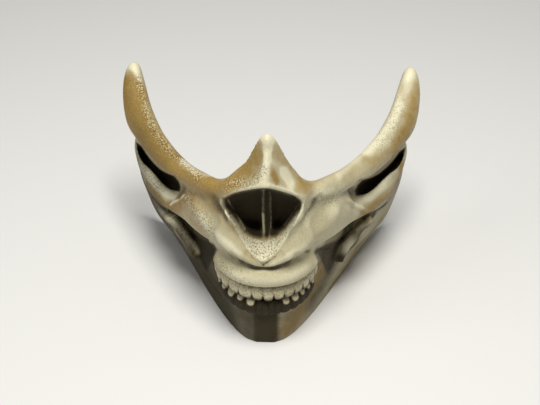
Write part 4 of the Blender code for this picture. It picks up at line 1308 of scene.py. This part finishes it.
def make_stage():
    mesh = bpy.data.meshes.new("studio_floor")
    work = bmesh.new()
    bmesh.ops.create_grid(work, x_segments=1, y_segments=1, size=FLOOR_HALF)
    work.to_mesh(mesh)
    work.free()
    floor = add_object("studio_floor", mesh)
    material = bpy.data.materials.new("pale floor")
    material.use_nodes = True
    surface = material.node_tree.nodes["Principled BSDF"]
    surface.inputs["Base Color"].default_value = (0.78, 0.78, 0.77, 1.0)
    surface.inputs["Roughness"].default_value = 0.7
    mesh.materials.append(material)


def add_light(name, place, size, power, colour):
    data = bpy.data.lights.new(name, "AREA")
    data.shape = "DISK"
    data.size = size
    data.energy = power
    data.color = colour
    light = add_object(name, data)
    light.location = place
    light.rotation_mode = "QUATERNION"
    light.rotation_quaternion = (Vector(LIGHTS_AIM) - light.location).to_track_quat("-Z", "Y")


def make_lights():
    add_light("key", (0.05, -0.26, 1.0), 0.35, 10.5, (1.0, 0.98, 0.93))
    add_light("side", (-0.8, -0.4, 0.8), 0.6, 1.5, (1.0, 0.99, 0.97))
    world = bpy.data.worlds.new("studio")
    bpy.context.scene.world = world
    world.use_nodes = True
    sky = world.node_tree.nodes["Background"]
    sky.inputs["Color"].default_value = (0.95, 0.94, 0.92, 1.0)
    sky.inputs["Strength"].default_value = 0.16
    bpy.context.scene.view_settings.view_transform = "Standard"


def make_camera():
    data = bpy.data.cameras.new("camera")
    data.sensor_width = SENSOR
    data.lens = FOCAL_PIXELS / FRAME_PIXELS[0] * SENSOR
    data.clip_start = 0.02
    camera = add_object("camera", data)
    camera.location = (camera_place() - [0, MIDDLE_Y, 0]) * MM
    ahead = Vector(pixel_way(FRAME_PIXELS[0] / 2, FRAME_PIXELS[1] / 2))
    camera.rotation_mode = "QUATERNION"
    camera.rotation_quaternion = ahead.to_track_quat("-Z", "Y")
    bpy.context.scene.camera = camera


shell = make_shell()
upper = make_teeth_row("upper_tooth_row", UPPER_EDGES, TEETH_TOP - GAP, BITE, 0.0, -1, 5)
lower = make_teeth_row("lower_tooth_row", LOWER_EDGES, BITE - GAP, TEETH_BOTTOM + GAP, 1.4, 1, 9)
bone_paint = make_bone_paint()
paint_shell(shell.data)
paint_teeth(upper.data, UPPER_EDGES, -1)
paint_teeth(lower.data, LOWER_EDGES, 1)
tooth_colours = {"Cream": (0.7, 0.64, 0.43), "Gold": (0.3, 0.22, 0.08)}
for piece, node, slot, title, colours, relief in (
    (shell, "face_shell", "shell_bone", "shell bone", {}, 0.35),
    (upper, "upper_teeth", "upper_teeth_ivory", "upper teeth", tooth_colours, 0.3),
    (lower, "lower_teeth", "lower_teeth_ivory", "lower teeth", tooth_colours, 0.3),
):
    piece.data.materials.clear()
    piece.data.materials.append(make_material(title, bone_paint, colours, relief))
    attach(piece, "root")
    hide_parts(node)
make_stage()
make_lights()
make_camera()
